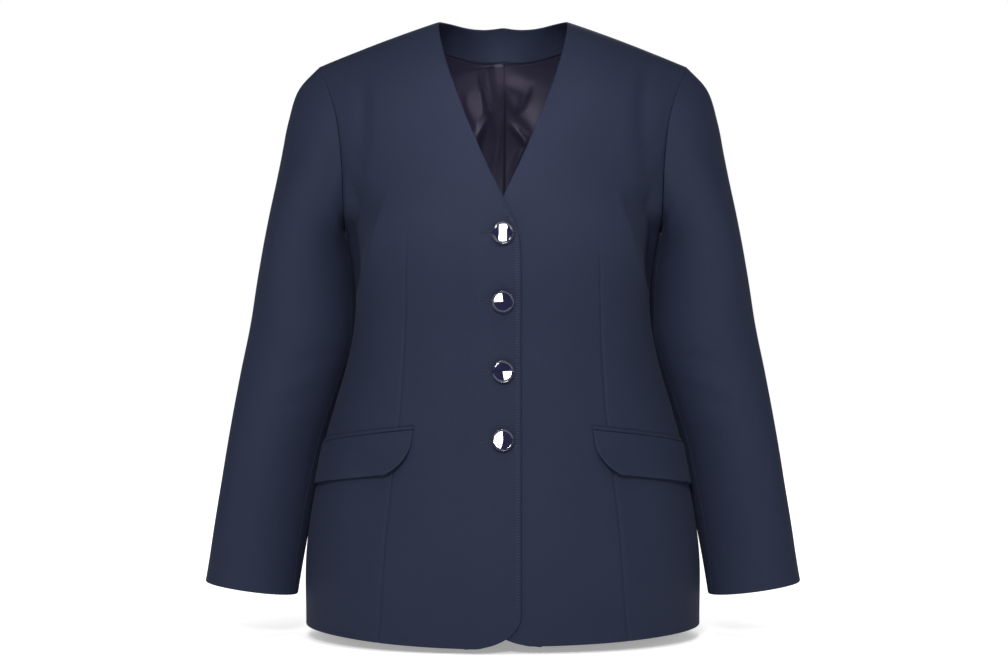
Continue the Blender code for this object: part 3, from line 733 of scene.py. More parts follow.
# Soft creases of the fronts, as seen from the front: centre x and z, half length, half width,
# lean from level in degrees, and height off the cloth
Crease = namedtuple("Crease", "x z length width lean height")
FRONT_CREASES = (
    Crease(0.1600, -0.110, 0.052, 0.0110, 88, -0.0044),
    Crease(0.1400, -0.120, 0.050, 0.0130, 84, 0.0010),
    Crease(0.1640, -0.170, 0.024, 0.0075, 70, -0.0013),
    Crease(0.0640, -0.236, 0.030, 0.0100, -24, -0.0007),
    Crease(0.0800, -0.290, 0.040, 0.0120, 80, 0.0006),
    Crease(0.0560, -0.560, 0.090, 0.0200, 86, 0.0008),
    Crease(0.1560, -0.600, 0.080, 0.0160, 97, -0.0011),
    Crease(0.1820, -0.560, 0.070, 0.0120, 95, 0.0009),
    Crease(0.1360, -0.385, 0.045, 0.0120, 68, 0.0008),
)


def creased(creases, across, height):
    """Soft uneven troughs and ridges, each placed as listed: how far each place is moved off the
    cloth.
    """
    total = np.zeros(np.shape(across))
    for crease in creases:
        lean = math.radians(crease.lean)
        aside, upward = across - crease.x, height - crease.z
        along = (aside * math.cos(lean) + upward * math.sin(lean)) / crease.length
        beside = (upward * math.cos(lean) - aside * math.sin(lean)) / crease.width
        beside = beside + 0.35 * along * along
        total = total + crease.height * np.exp(-(along**2) - beside**2)
    return total


def bust_fold(points, side_gap):
    """The fold from the bust to the side, with a hollow that eases out towards the armhole."""
    across, height = points[..., 0], points[..., 2]
    gap, along = distance_to(BUST_FOLD, across, height)
    fold_x, fold_z = np.array(BUST_FOLD).T
    outside = across > np.interp(-height, -fold_z, fold_x)
    shape = np.where(outside, 1 - np.exp(-gap / BUST_HOLLOW_WIDTH), 0.0)
    strength = soft_step(0.0, 0.040, along) * (1 - soft_step(0.105, 0.150, along))
    crest = bump(gap, 0.0, BUST_CREST_WIDTH) * strength * BUST_CREST_HEIGHT
    hollow = -BUST_HOLLOW_DEPTH * shape * strength * soft_step(-0.375, -0.330, height)
    return hollow * soft_step(0.0, 0.028, side_gap) + crest


def front_relief(points, level, side, side_gap):
    """How far a front's cloth is moved off its form by its folds and creases."""
    across, height = points[..., 0], points[..., 2]
    swell = SWELL * drift(across, level, FRONT_SEED + side)
    relief = swell * soft_step(0.0, 0.06, across + OVERLAP) + bust_fold(points, side_gap)
    return relief + creased(FRONT_CREASES, across, height) * soft_step(0.0, SEAM_CALM, side_gap)


def hem_dip(side, around, level):
    """How far a front hangs down at its hem, most at the centre."""
    low = 1 - soft_step(0.0, 0.2, level)
    return HEM_DIP[side] * (1 - soft_step(0.0, 0.85, np.abs(around))) * low


def dress_front(side, word):
    points, normals, across, level, around, dart_column = front_grid()
    front_line = np.stack((across[:, 0], level[:, 0]), axis=1)
    edge_gap, _ = distance_to(front_line[::2], across, level)
    dart_gap = np.abs(across - across[:, dart_column : dart_column + 1])
    raised = rolled(np.minimum(edge_gap, level)) + rolled((1 - around) * PANEL_WIDTH, SEAM_EDGE)
    raised += rolled(FRONT_TOP - level, SEAM_EDGE)
    raised += dart_dip(dart_gap) * (1 - soft_step(*DART_END, points[..., 2]))
    raised += front_relief(points, level, side, across[:, -1:] - across)
    if side == RIGHT:
        raised += overlap_lift(points[..., 0], level)
    points = points + normals * raised[..., None]
    points[..., 2] -= hem_dip(side, around, level)
    cloth_uv = np.stack((across, level), axis=-1)
    lay_cloth(f"front_{word}", FRONT_SHEET, points, normals, cloth_uv, side)


def back_grid():
    """Half of the back, up to its neckline: points, normals, distance across, level and around."""
    nape = float(neck_level(np.array(0.0), np.array(NECK_BACK_DEPTH)))
    low = spaced(nape, BACK_STEP / FINE, EDGE_STEPS)
    neck_across, neck_levels = neck_rows(0.0, nape)
    levels = np.concatenate((low, neck_levels))
    starts = BACK.around_at(np.concatenate((np.full(len(low), 1e-5), neck_across)), levels)
    shares, _, arcs = dense_rows(BACK, starts, levels)
    across = np.array([shrink_to(row[-1], 62, EDGE_STEPS[:4], EDGE_STEPS[:4]) for row in arcs])
    around = read_rows(across, arcs, shares)
    level = spread(levels, around.shape[1])
    return BACK.points(around, level), BACK.normals(around, level), across, level, around


# Soft creases of the back: the shoulder blades' edges, the side folds and the drape of the hem
BACK_CREASES = (
    Crease(0.1580, -0.120, 0.050, 0.0130, 92, -0.0030),
    Crease(0.1250, -0.150, 0.060, 0.0150, 84, 0.0014),
    Crease(0.1420, -0.255, 0.050, 0.0090, 62, -0.0022),
    Crease(0.1300, -0.262, 0.050, 0.0080, 62, 0.0012),
    Crease(0.0900, -0.352, 0.050, 0.0110, 12, -0.0013),
    Crease(0.0850, -0.374, 0.048, 0.0100, 10, 0.0010),
    Crease(0.0700, -0.560, 0.095, 0.0180, 88, 0.0012),
    Crease(0.1350, -0.590, 0.090, 0.0160, 94, -0.0014),
)


def back_relief(points, level, side, side_gap):
    """How far the back's cloth is moved off its form: calm near the neck, where the facing lies."""
    across, height = points[..., 0], points[..., 2]
    relief = SWELL * drift(across, level, BACK_SEED + side) * soft_step(0.0, 0.06, across)
    relief = relief + creased(BACK_CREASES, across, height) * soft_step(0.0, SEAM_CALM, across)
    calm = bump(across, 0.0, 0.17) * soft_step(-0.14, -0.07, height)
    return relief * (1 - calm) * soft_step(0.0, SEAM_CALM, side_gap)


def dress_back(side, word):
    points, normals, across, level, around = back_grid()
    raised = rolled(level) + rolled((1 - around) * PANEL_WIDTH, SEAM_EDGE)
    raised += rolled(BACK_TOP - level, SEAM_EDGE)
    raised += rolled(across, BROAD_SEAM_EDGE)
    raised += back_relief(points, level, side, across[:, -1:] - across)
    points = points + normals * raised[..., None]
    cloth_uv = np.stack((across, level), axis=-1)
    lay_cloth(f"back_{word}", BACK_SHEET, points, normals, cloth_uv, side)


def armhole_ring(count):
    """The armhole as a ring of points at even angles: 0 at the shoulder, positive in front."""
    edges = []
    for form in (FRONT, BACK):
        levels = np.linspace(form.levels[ARMHOLE_ROW], form.levels[-2], 161)
        edges.append(form.points(np.ones(len(levels)), levels))
    front, back = edges
    bottom, top = front[0], front[-1]
    centre = (bottom + top) / 2
    up = (top - bottom) / np.linalg.norm(top - bottom)
    loop = np.concatenate((back[::-1], front))
    offset = loop - centre
    angle = np.arctan2(-offset[:, 1], offset @ up)
    order = np.argsort(angle, kind="stable")
    angle, loop = angle[order], loop[order]
    wanted = np.linspace(-math.pi, math.pi, count + 1)
    ring = np.stack([np.interp(wanted, angle, loop[:, axis]) for axis in range(3)], axis=1)
    return centre, up, wanted, ring


ARMHOLE_CENTRE, ARMHOLE_UP, ARMHOLE_ANGLES, ARMHOLE_RING = armhole_ring(72)
ARMHOLE_HALF_DEPTH = 0.058


def armhole_points(angle):
    angle = (angle + math.pi) % (2 * math.pi) - math.pi
    return np.stack([np.interp(angle, ARMHOLE_ANGLES, ARMHOLE_RING[:, a]) for a in range(3)], axis=-1)


def sleeve_section(row, angle):
    """The sleeve's outline at one row: oval, or shaped like the armhole where its oval is 0."""
    inner = np.array((row.inner_x, row.y, row.inner_z))
    outer = np.array((row.outer_x, row.y, row.outer_z))
    centre, half = (inner + outer) / 2, (outer - inner) / 2
    half_length = np.linalg.norm(half)
    straight = math.sqrt(half_length**2 - row.swing**2) / half_length
    sideways = np.array((row.swing, -row.half_depth, 0.0))
    oval = centre + half * straight * np.cos(angle)[:, None] + sideways * np.sin(angle)[:, None]
    seam = armhole_points(angle) - ARMHOLE_CENTRE
    height = seam @ ARMHOLE_UP
    span = np.linalg.norm(armhole_points(np.array([0.0]))[0] - ARMHOLE_CENTRE)
    aside = seam - height[:, None] * ARMHOLE_UP
    shaped = centre + (height / span)[:, None] * half
    shaped = shaped + aside * np.array((1.0, row.half_depth / ARMHOLE_HALF_DEPTH, 0.0))
    return shaped * (1 - row.oval) + oval * row.oval


def sleeve_knots():
    centres = [ARMHOLE_CENTRE]
    for row in SLEEVE:
        middle = ((row.inner_x + row.outer_x) / 2, row.y, (row.inner_z + row.outer_z) / 2)
        centres.append(np.array(middle))
    steps = [np.linalg.norm(far - near) for near, far in zip(centres, centres[1:])]
    knots = np.concatenate(([0.0], np.cumsum(steps)))
    return knots / knots[-1], knots[-1]


SLEEVE_KNOTS, SLEEVE_LENGTH = sleeve_knots()
# Radii by which an angle round the arm becomes a distance, in the grid and in the creases
GRID_RADIUS = 0.060
CREASE_RADIUS = 0.0573

# Soft creases of the upper sleeve piece, by distance round the arm from its outer side and
# distance down the sleeve: the head's ease, the inner elbow's short folds and the drag above
# the cuff
SLEEVE_CREASES = (
    Crease(0.040, -0.060, 0.040, 0.0120, 84, -0.0012),
    Crease(0.060, -0.150, 0.060, 0.0140, 96, 0.0011),
    Crease(0.110, -0.250, 0.030, 0.0080, 18, -0.0012),
    Crease(0.115, -0.275, 0.032, 0.0085, 24, 0.0012),
    Crease(0.108, -0.303, 0.028, 0.0080, 16, -0.0011),
    Crease(0.030, -0.300, 0.090, 0.0180, 93, 0.0010),
    Crease(0.080, -0.400, 0.080, 0.0160, 98, -0.0010),
    Crease(0.020, -0.480, 0.070, 0.0150, 88, -0.0009),
    Crease(-0.040, -0.200, 0.080, 0.0160, 92, 0.0010),
    Crease(-0.060, -0.290, 0.030, 0.0090, -20, -0.0012),
    Crease(-0.055, -0.330, 0.030, 0.0090, -16, 0.0010),
    Crease(-0.050, -0.430, 0.070, 0.0160, 95, -0.0010),
)

# Each sleeve piece between its two seams' angles, and the x of its way out
SleevePiece = namedtuple("SleevePiece", "name sheet start end columns outward edge creases")
SLEEVE_PIECES = (
    SleevePiece(
        "top",
        SLEEVE_TOP_SHEET,
        start=HINDARM_SEAM,
        end=FOREARM_SEAM,
        columns=76,
        outward=1,
        edge=(0.0009, 0.0009),
        creases=SLEEVE_CREASES,
    ),
    SleevePiece(
        "under",
        SLEEVE_UNDER_SHEET,
        start=FOREARM_SEAM,
        end=HINDARM_SEAM + math.tau,
        columns=34,
        outward=-1,
        edge=(0.0009, 0.0002),
        creases=(),
    ),
)


def sleeve_grid(part):
    """A sleeve piece's grid: its points, how far down each row lies, and each column's angle."""
    downs = spaced(SLEEVE_LENGTH, CLOTH_STEP / FINE, EDGE_STEPS[:5], EDGE_STEPS[:5]) / SLEEVE_LENGTH
    span = part.end - part.start
    arc = span * GRID_RADIUS
    angles = part.start + shrink_to(arc, part.columns, EDGE_STEPS[:5], EDGE_STEPS[:5]) / arc * span
    sections = [armhole_points(angles)] + [sleeve_section(row, angles) for row in SLEEVE]
    points = curve_through(SLEEVE_KNOTS, np.array(sections), downs)
    return points, spread(downs, len(angles)) * SLEEVE_LENGTH, angles


def dress_sleeve(side, word):
    for part in SLEEVE_PIECES:
        points, down, angles = sleeve_grid(part)
        normals = grid_normals(points, (part.outward, 0, 0))
        widths = arcs_of(points)
        from_seam = np.minimum(widths, widths[:, -1:] - widths)
        raised = rolled(from_seam, part.edge) + rolled(down, BROAD_SEAM_EDGE)
        raised += rolled(SLEEVE_LENGTH - down)
        round_arm = angles * CREASE_RADIUS
        swell = drift(round_arm * 3, down, SLEEVE_SEED + side)
        raised += SLEEVE_SWELL * swell * soft_step(0.0, 0.03, from_seam)
        raised += creased(part.creases, round_arm, -down) * soft_step(0.0, 0.014, from_seam)
        points = points + normals * raised[..., None]
        cloth_uv = np.stack((widths, -down), axis=-1)
        node = f"sleeve_{part.name}_{word}"
        lay_cloth(node, part.sheet, points, normals, cloth_uv, side)


# The lining's creases, as seen from the front: most lie under the neck, where they show
LINING_CREASES = (
    Crease(-0.036, -0.078, 0.017, 0.0085, 72, -0.0034),
    Crease(-0.022, -0.070, 0.024, 0.0040, 104, 0.0026),
    Crease(-0.006, -0.125, 0.032, 0.0045, 82, 0.0024),
    Crease(-0.020, -0.142, 0.026, 0.0060, 62, -0.0022),
    Crease(0.021, -0.118, 0.023, 0.0032, -48, 0.0028),
    Crease(0.014, -0.096, 0.024, 0.0050, -40, -0.0022),
    Crease(0.030, -0.070, 0.022, 0.0042, 48, 0.0026),
    Crease(0.040, -0.062, 0.022, 0.0050, 60, -0.0024),
    Crease(0.012, -0.060, 0.018, 0.0060, -20, 0.0022),
    Crease(0.016, -0.152, 0.026, 0.0042, 65, 0.0024),
    Crease(-0.044, -0.104, 0.026, 0.0060, 112, 0.0022),
    Crease(0.046, -0.104, 0.028, 0.0050, 66, -0.0022),
    Crease(-0.030, -0.118, 0.026, 0.0045, 66, 0.0020),
    Crease(-0.060, -0.200, 0.060, 0.0080, 80, 0.0022),
    Crease(0.060, -0.230, 0.060, 0.0080, 96, -0.0022),
    Crease(-0.030, -0.380, 0.070, 0.0090, 88, 0.0020),
    Crease(0.040, -0.420, 0.080, 0.0090, 84, 0.0020),
    Crease(0.090, -0.520, 0.080, 0.0100, 92, 0.0022),
    Crease(-0.090, -0.560, 0.080, 0.0100, 86, 0.0022),
)
# How many times as high the creases stand as the table says
LINING_CREASE_SCALE = 1.6
# Where each half of the lining begins, so that the halves cross in the pleat
LINING_START = {RIGHT: -0.003, LEFT: -0.006}
# How loosely the lining hangs: everywhere, and more between its seams
LINING_SLACK = 0.0005
LINING_EASE = 0.0022


def lining_creases(across, height, around):
    """How far the lining stands in from the back: in slow swells, closer ones and its creases."""
    total = 0.0010 * drift(across * 2.2, height * 2.0, 21)
    total = total + 0.0007 * drift(across * 5.0 + 0.3, height * 4.4, 33)
    total = total + LINING_CREASE_SCALE * creased(LINING_CREASES, across, height)
    from_seams = soft_step(0.0, 0.12, around) * (1 - soft_step(0.80, 1.0, around))
    return np.maximum(total * (0.25 + 0.75 * from_seams), -0.0004)


def dress_lining(side, word):
    """Half of the back lining, with its centre pleat and the soft creases that it hangs in."""
    nape = float(neck_level(np.array(0.0), np.array(FACING_BACK_DEPTH)))
    low = spaced(nape - LINING_HEM, LINING_STEP / FINE) + LINING_HEM
    neck_across, neck_levels = neck_rows(1.02, nape)
    levels = np.concatenate((low, np.minimum(neck_levels, BACK_TOP - 0.0012)))
    starts = np.concatenate((np.full(len(low), LINING_START[side]), neck_across))
    starts = BACK.around_at(starts, levels)[:, None]
    around = starts + (0.996 - starts) * np.linspace(0, 1, int(96 * FINE) + 1)
    level = spread(levels, around.shape[1])
    points = BACK.points(around, level)
    normals = BACK.normals(around, level)
    across = points[..., 0]
    below_shoulder = 1 - soft_step(BACK_TOP - 0.09, BACK_TOP, level)
    slack = LINING_SLACK + LINING_EASE * (1 - soft_step(0.75, 1.0, around)) * below_shoulder
    if side == RIGHT:
        slack = slack + (1 - soft_step(0.03, 0.10, around)) * (LINING_WALL + 3 * LAID_GAP)
    calm = 1 - bump(level, nape, 0.005)
    depth = BACK_WALL + slack + lining_creases(across * side, points[..., 2], around) * calm
    widths = arcs_of(points)
    depth = depth - np.minimum(0.0, back_relief(points, level, side, widths[:, -1:] - widths))
    points = points - normals * depth[..., None]
    cloth_uv = np.stack((across, level), axis=-1)
    node = f"lining_back_{word}"
    lay_cloth(node, LINING_SHEET, points, -normals, cloth_uv, side)


def dress_neck_facing():
    turns = np.linspace(-math.pi / 2, math.pi / 2, int(90 * FINE) + 1)
    margins = np.linspace(0, 1, int(22 * FINE) + 1)
    places = np.array([neck_place(np.abs(turns), margin) for margin in margins])
    across, levels = places[:, 0], np.minimum(places[:, 1], BACK_TOP - 0.0004)
    points = BACK.points(BACK.around_at(across, levels), levels)
    points[..., 0] = np.where(turns < 0, -points[..., 0], points[..., 0])
    normals = grid_normals(points, (0, 1, 0))
    points = points - normals * (BACK_WALL + 0.0003)
    downs = -spread(margins * FACING_DEPTH, len(turns))
    cloth_uv = np.stack((points[..., 0], downs), axis=-1)
    lay_cloth("neck_facing_back", FACING_SHEET, points, -normals, cloth_uv)


def flap_start(down):
    """How far along the pocket the flap begins, which is later at its rounded front corner."""
    share = np.clip((down - FLAP_HEIGHT + FLAP_CORNER_HEIGHT) / FLAP_CORNER_HEIGHT, 0.0, 1.0)
    return FLAP_CORNER_SHARE * (1 - np.sqrt(1 - share * share))


# Where the side seam lies beside the pocket, and how much longer the way there is round the hip
POCKET_SIDE_X = 0.212
POCKET_SIDE_TURN = 1.6


def pocket_bed(along, down, side):
    """The front under the pocket: its points and normals, and how far its cloth is moved."""
    around = POCKET_FRONT + (POCKET_REAR - POCKET_FRONT) * along
    level = POCKET_FRONT_LEVEL + (POCKET_REAR_LEVEL - POCKET_FRONT_LEVEL) * along - down
    points = FRONT.points(around, level)
    side_gap = np.maximum(0.0, POCKET_SIDE_X - points[..., 0]) * POCKET_SIDE_TURN
    return points, FRONT.normals(around, level), front_relief(points, level, side, side_gap)


# How far the flap stands off the front: at its top, and how much more at its lower edge and its
# front corner, and less at its rear
FLAP_STAND = 0.0006
FLAP_HEM_STAND = 0.0035
FLAP_CORNER_STAND = 0.0058
FLAP_REAR_TUCK = 0.0032


def dress_flap(side, word):
    downs = spaced(FLAP_HEIGHT, FLAP_STEP / FINE, EDGE_STEPS[:4], EDGE_STEPS[:5])
    shares = shrink_to(POCKET_LENGTH, 74, EDGE_STEPS, EDGE_STEPS[:4]) / POCKET_LENGTH
    starts = flap_start(downs)[:, None]
    along = starts + (1 - starts) * shares
    down = spread(downs, along.shape[1])
    points, normals, relief = pocket_bed(along, down, side)
    front_side = np.stack((along[:, 0] * POCKET_LENGTH, downs), axis=1)
    lower_edge = np.stack((along[-1] * POCKET_LENGTH, down[-1]), axis=1)
    outline = np.concatenate((front_side, lower_edge))
    edge_gap, _ = distance_to(outline[::2], along * POCKET_LENGTH, down)
    stand = FLAP_STAND + FLAP_HEM_STAND * soft_step(0.0, FLAP_HEIGHT, down) + FLAP_WALL
    low = down / FLAP_HEIGHT
    stand = stand + FLAP_CORNER_STAND * (1 - soft_step(0.0, 0.30, along)) * soft_step(0.3, 1.0, low)
    stand = stand - FLAP_REAR_TUCK * soft_step(0.70, 1.0, along) * soft_step(0.0, 1.0, low)
    points = points + normals * (stand + relief + rolled(edge_gap, FLAP_EDGE))[..., None]
    cloth_uv = np.stack((along * POCKET_LENGTH, -down), axis=-1)
    node = f"pocket_flap_{word}"
    lay_cloth(node, FLAP_SHEET, points, normals, cloth_uv, side)


def dress_welt(side, word):
    """The narrow welt above the flap, rounded from its lower to its upper edge."""
    along, rise = np.meshgrid(np.linspace(0, 1, int(80 * FINE) + 1), np.linspace(0, WELT_HEIGHT, 7))
    points, normals, relief = pocket_bed(along, -0.0003 - rise, side)
    crown = LAID_GAP + WELT_WALL * (0.45 + 0.55 * np.sin(math.pi * rise / WELT_HEIGHT) ** 0.5)
    points = points + normals * (crown + relief)[..., None]
    cloth_uv = np.stack((along * POCKET_LENGTH, rise), axis=-1)
    node = f"pocket_welt_{word}"
    lay_cloth(node, WELT_SHEET, points, normals, cloth_uv, side)


def level_at_height(height):
    levels = np.linspace(0.0, FRONT_TOP, 2000)
    heights = FRONT.points(np.zeros(2000), levels)[:, 2]
    return float(np.interp(height, heights, levels))


def button_place(height):
    level = level_at_height(height)
    near = FRONT.points(np.zeros(3), np.array([level - 0.002, level, level + 0.002]))
    up = near[2] - near[0]
    out = np.cross((1.0, 0.0, 0.0), up)
    out = out / np.linalg.norm(out)
    lift = float(overlap_lift(np.array(0.0), np.array(level)))
    return Vector(near[1] + out * lift), Vector(out)


# The faces of the four buttons, each cut in part towards the main softbox: in sectors, in
# degrees, or in a band up and down across the middle, by its half width
ButtonFace = namedtuple("ButtonFace", "sectors band")
BUTTON_FACES = (
    ButtonFace((), 0.0052),
    ButtonFace(((92, 182),), 0.0),
    ButtonFace(((275, 368),), 0.0),
    ButtonFace(((88, 262),), 0.0),
)
BUTTON_PROFILE = (
    (0.0030, 0.0003),
    (0.0030, 0.0026),
    (0.0098, 0.0026),
    (0.0114, 0.0031),
    (0.0121, 0.0041),
    (0.01225, 0.0050),
    (0.0121, 0.0058),
    (0.01190, 0.00618),
    (0.01165, 0.00630),
    (0.01140, 0.00620),
    (0.01125, 0.00598),
)
# The face inside the rim: its radius, its height, its rise to the middle and its rings
FACE_RADIUS = 0.0111
FACE_HEIGHT = 0.00590
FACE_RISE = 0.00022
FACE_RINGS = 14


def cut_weight(x, y, face):
    """1 on the part of a button's face that is cut towards the softbox, 0 on the rest."""
    angle = math.degrees(math.atan2(y, x)) % 360
    weight = float(soft_step(-0.0004, 0.0004, face.band - abs(x))) if face.band else 0.0
    for low, high in face.sectors:
        middle, half = (low + high) / 2, (high - low) / 2
        off = abs((angle - middle + 180) % 360 - 180)
        weight = max(weight, float(soft_step(-2.5, 2.5, half - off)))
    return weight


def dress_button(number, height):
    """A polished button on a shank, its face cut in planes that meet at the middle."""
    origin, out = button_place(height)
    right = Vector((1, 0, 0))
    up = out.cross(right).normalized()
    right = up.cross(out).normalized()
    to_camera = (Vector(CAMERA_PLACE) - origin).normalized()
    slopes = []
    for seen in (MAIN_BOX_PLACE, DARK_PLACE):
        facing = (to_camera + (Vector(seen) - origin).normalized()).normalized()
        slopes.append((-facing.dot(right) / facing.dot(out), -facing.dot(up) / facing.dot(out)))
    mesh = bmesh.new()
    shares = [1 - ring / FACE_RINGS for ring in range(FACE_RINGS + 1)]
    profile = list(BUTTON_PROFILE)
    profile += [(FACE_RADIUS * share, FACE_HEIGHT + FACE_RISE * (1 - share)) for share in shares]
    line = [mesh.verts.new((radius, 0, rise)) for radius, rise in profile]
    edges = [mesh.edges.new(pair) for pair in zip(line, line[1:])]
    bmesh.ops.spin(
        mesh, geom=line + edges, cent=(0, 0, 0), axis=(0, 0, 1), angle=math.tau, steps=96
    )
    bmesh.ops.remove_doubles(mesh, verts=mesh.verts, dist=2e-6)
    bmesh.ops.recalc_face_normals(mesh, faces=mesh.faces)
    for vertex in mesh.verts:
        x, y, rise = vertex.co
        radius = math.hypot(x, y)
        if rise > FACE_HEIGHT - 0.00001 and radius < FACE_RADIUS:
            lit = cut_weight(x, y, BUTTON_FACES[number - 1])
            aside, along = (bright * lit + dark * (1 - lit) for bright, dark in zip(*slopes))
            fade = 1 - soft_step(FACE_RADIUS - 0.0009, FACE_RADIUS, radius)
            rise += (aside * x + along * y) * float(fade)
        vertex.co = origin + right * x + up * y + out * rise
    made = add_object(f"dressed_button_{number}", mesh, (RESIN,))
    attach(made, "root")
    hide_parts(f"button_{number}")


# How far from the side seam the stitched edge lies
STITCHES_SIDE_GAP = 0.2


def front_surface(across, level, lift=0.0):
    """A point on the top front's outside, this far from the centre line on its own side."""
    around = FRONT.around_at(np.array(across), np.array(level))
    place = FRONT.points(around, np.array(level))
    near = np.stack([FRONT.points(around, np.array(level + step)) for step in (-0.001, 0.001)])
    beside = FRONT.around_at(np.array([across - 0.001, across + 0.001]), np.array([level, level]))
    width = FRONT.points(beside, np.array([level, level]))
    out = np.cross(width[1] - width[0], near[1] - near[0])
    out = out / np.linalg.norm(out)
    if out[1] > 0:
        out = -out
    side_gap = np.array([STITCHES_SIDE_GAP])
    relief = front_relief(place[None, :], np.array([level]), RIGHT, side_gap)[0]
    raised = float(overlap_lift(np.array(across), np.array(level))) + lift + float(relief)
    place = place + out * raised
    height = place[2] - float(hem_dip(RIGHT, around, level))
    return Vector((-place[0], place[1], height)), Vector((-out[0], out[1], out[2]))


def add_thread(mesh, start, end, out, radius):
    """One stitch: a short thread lying on the cloth, sunk at both ends."""
    middle = (start + end) / 2
    along = (end - start).normalized()
    aside = along.cross(out).normalized()
    ring = bmesh.ops.create_uvsphere(mesh, u_segments=6, v_segments=4, radius=1.0)["verts"]
    half = (end - start).length / 2
    for vertex in ring:
        x, y, z = vertex.co
        vertex.co = middle + along * (z * half) + aside * (x * radius) + out * (y * radius * 0.8)


def finish_threads(name, mesh, material):
    made = add_object(name, mesh, (material,))
    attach(made, "root")


# The edge stitches: how far apart they lie, where they start and end in from the edge, and radius
EDGE_STITCH_STEP = 0.0029
EDGE_STITCH_START = 0.0016
EDGE_STITCH_END = 0.0066
EDGE_STITCH_RADIUS = 0.00030
# The buttonholes: half width, ends as distances from the centre, and the threads' radii; the SLIT
# ones place the strip of painted shade in each slit
HOLE_HALF_WIDTH = 0.0017
HOLE_INNER = 0.002
HOLE_OUTER = 0.0240
HOLE_STITCH_RADIUS = 0.00045
SLIT_INNER = 0.004
SLIT_OUTER = 0.0235
SLIT_RADIUS = 0.00060


def sew_front_edge():
    """The close hand stitches along the edge of the top front."""
    mesh = bmesh.new()
    low, high = 0.045, level_at_height(-0.225)
    count = int((high - low) / EDGE_STITCH_STEP)
    for step in range(count):
        level = low + (high - low) * step / count
        edge = float(front_edge(np.array(level)))
        start, out = front_surface(edge + EDGE_STITCH_START, level)
        end, _ = front_surface(edge + EDGE_STITCH_END, level)
        add_thread(mesh, start, end, out, EDGE_STITCH_RADIUS)
    finish_threads("edge_stitches_right", mesh, THREAD)


def buttonhole_path():
    """A buttonhole's outline from its inner end, out, round the outer end and back."""
    straight = [HOLE_INNER + (HOLE_OUTER - HOLE_INNER) * step / 24 for step in range(25)]
    path = [(x, HOLE_HALF_WIDTH) for x in straight]
    for step in range(1, 8):
        turn = math.pi * step / 8
        across = HOLE_OUTER + HOLE_HALF_WIDTH * math.sin(turn)
        path.append((across, HOLE_HALF_WIDTH * math.cos(turn)))
    return path + [(x, -HOLE_HALF_WIDTH) for x in reversed(straight)]


def sew_buttonholes():
    """Worked buttonholes: a ring of close stitches round a slit, with its outer end showing, and a
    strip of painted shade laid in the slit.
    """
    stitches, slits = bmesh.new(), bmesh.new()
    path = buttonhole_path()
    for height in BUTTON_HEIGHTS:
        level = level_at_height(height)
        for (x, z), (far_x, far_z) in zip(path, path[1:]):
            start, out = front_surface(x, level + z, 0.0001)
            end, _ = front_surface(far_x, level + far_z, 0.0001)
            reach = (end - start) * 0.12
            add_thread(stitches, start - reach, end + reach, out, HOLE_STITCH_RADIUS)
        # The slit: a dark strip of painted shade, not a thread
        start, out = front_surface(SLIT_INNER, level, 0.00005)
        end, _ = front_surface(SLIT_OUTER, level, 0.00005)
        add_thread(slits, start, end, out, SLIT_RADIUS)
    finish_threads("buttonhole_stitches", stitches, THREAD)
    finish_threads("buttonhole_slit_painted_shade", slits, SLIT)


def build_scene():
    for side, word in SIDES:
        dress_front(side, word)
        dress_back(side, word)
        dress_sleeve(side, word)
        dress_lining(side, word)
        dress_flap(side, word)
        dress_welt(side, word)
    dress_neck_facing()
    for number, height in enumerate(BUTTON_HEIGHTS, start=1):
        dress_button(number, height)
    sew_front_edge()
    sew_buttonholes()


def add_lamp(name, place, size, power, aim):
    lamp = bpy.data.lights.new(name, "AREA")
    lamp.size = size
    lamp.energy = power
    made = bpy.data.objects.new(name, lamp)
    made.location = place
    made.rotation_euler = (Vector(aim) - Vector(place)).to_track_quat("-Z", "Y").to_euler()
    bpy.context.scene.collection.objects.link(made)
    return lamp


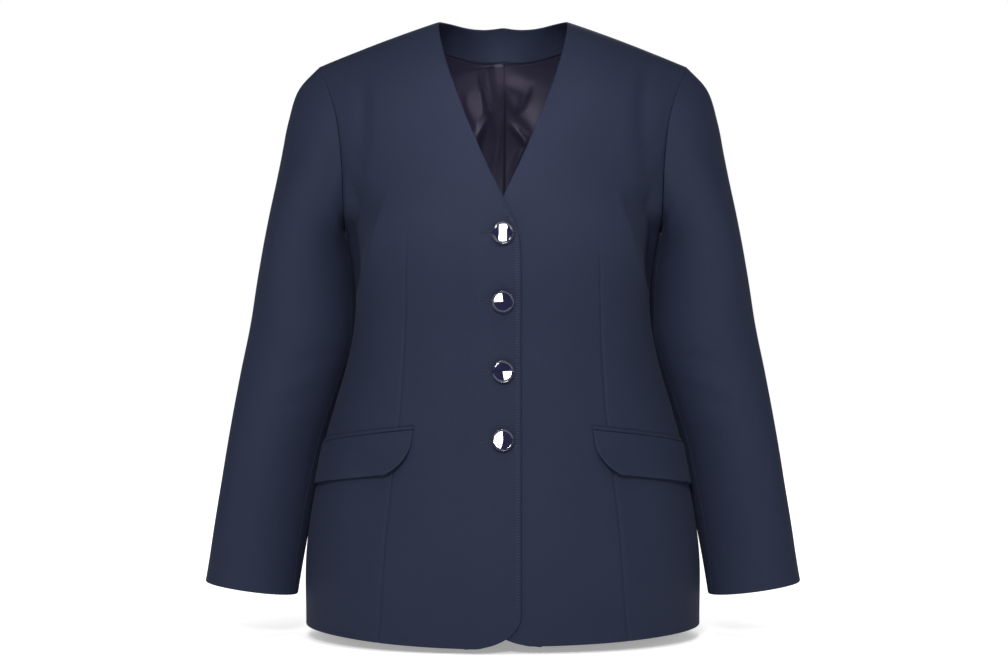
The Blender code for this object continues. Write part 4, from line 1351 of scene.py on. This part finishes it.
def light_scene():
    world = bpy.data.worlds.new("studio white")
    bpy.context.scene.world = world
    world.use_nodes = True
    tree = world.node_tree
    ambient = tree.nodes["Background"]
    fill(tree, ambient, {"Color": WHITE, "Strength": AMBIENT})
    backdrop = add_node(tree, "ShaderNodeBackground", inputs={"Color": WHITE, "Strength": 1.0})
    ray = add_node(tree, "ShaderNodeLightPath").outputs["Is Camera Ray"]
    inputs = {0: ray, 1: ambient.outputs["Background"], 2: backdrop.outputs["Background"]}
    shown = add_node(tree, "ShaderNodeMixShader", inputs=inputs)
    fill(tree, tree.nodes["World Output"], {"Surface": shown.outputs["Shader"]})
    for name, place, size, power in SOFTBOXES:
        add_lamp(name, place, size, power, LAMP_AIM)
    for name, place in NECK_LAMPS:
        lamp = add_lamp(name, place, NECK_LAMP_SIZE, NECK_LAMP_POWER, NECK_LAMP_AIM)
        lamp.spread = NECK_LAMP_SPREAD
    camera = bpy.data.cameras.new("camera")
    camera.sensor_width = 36.0
    camera.lens = CAMERA_LENS
    made = bpy.data.objects.new("camera", camera)
    made.location = CAMERA_PLACE
    made.rotation_euler = (math.radians(90), 0, 0)
    bpy.context.scene.collection.objects.link(made)
    bpy.context.scene.camera = made


def add_floor():
    """Matt white paper that glows, so that it stays white but for a painted contact shadow near the
    hem, where ambient occlusion dims the glow.
    """
    mesh = bmesh.new()
    bmesh.ops.create_grid(mesh, x_segments=1, y_segments=1, size=12)
    bmesh.ops.translate(mesh, verts=mesh.verts, vec=(0, 0, FLOOR_LEVEL))
    material, tree, shader = start_material("matt_white_paper")
    # Painted shadow: ambient occlusion dims the glow down to 0.22 where the hem comes near the floor
    near = add_node(tree, "ShaderNodeAmbientOcclusion", {"samples": 8}, {"Distance": 0.42})
    glow = add_range(tree, near.outputs["AO"], 0.22, 1.0)
    ray = add_node(tree, "ShaderNodeLightPath").outputs["Is Camera Ray"]
    seen = add_range(tree, ray, FLOOR_GLOW_ON_CLOTH, 1.0)
    strength = add_node(tree, "ShaderNodeMath", {"operation": "MULTIPLY"}, {0: glow, 1: seen})
    looks = {
        "Base Color": srgb("#fafafa"),
        "Roughness": 0.9,
        "Emission Color": WHITE,
        "Emission Strength": strength.outputs[0],
    }
    fill(tree, shader, looks)
    add_object("floor", mesh, (material,))


bpy.context.scene.view_settings.view_transform = "Standard"
build_scene()
add_floor()
light_scene()
bpy.context.view_layer.update()
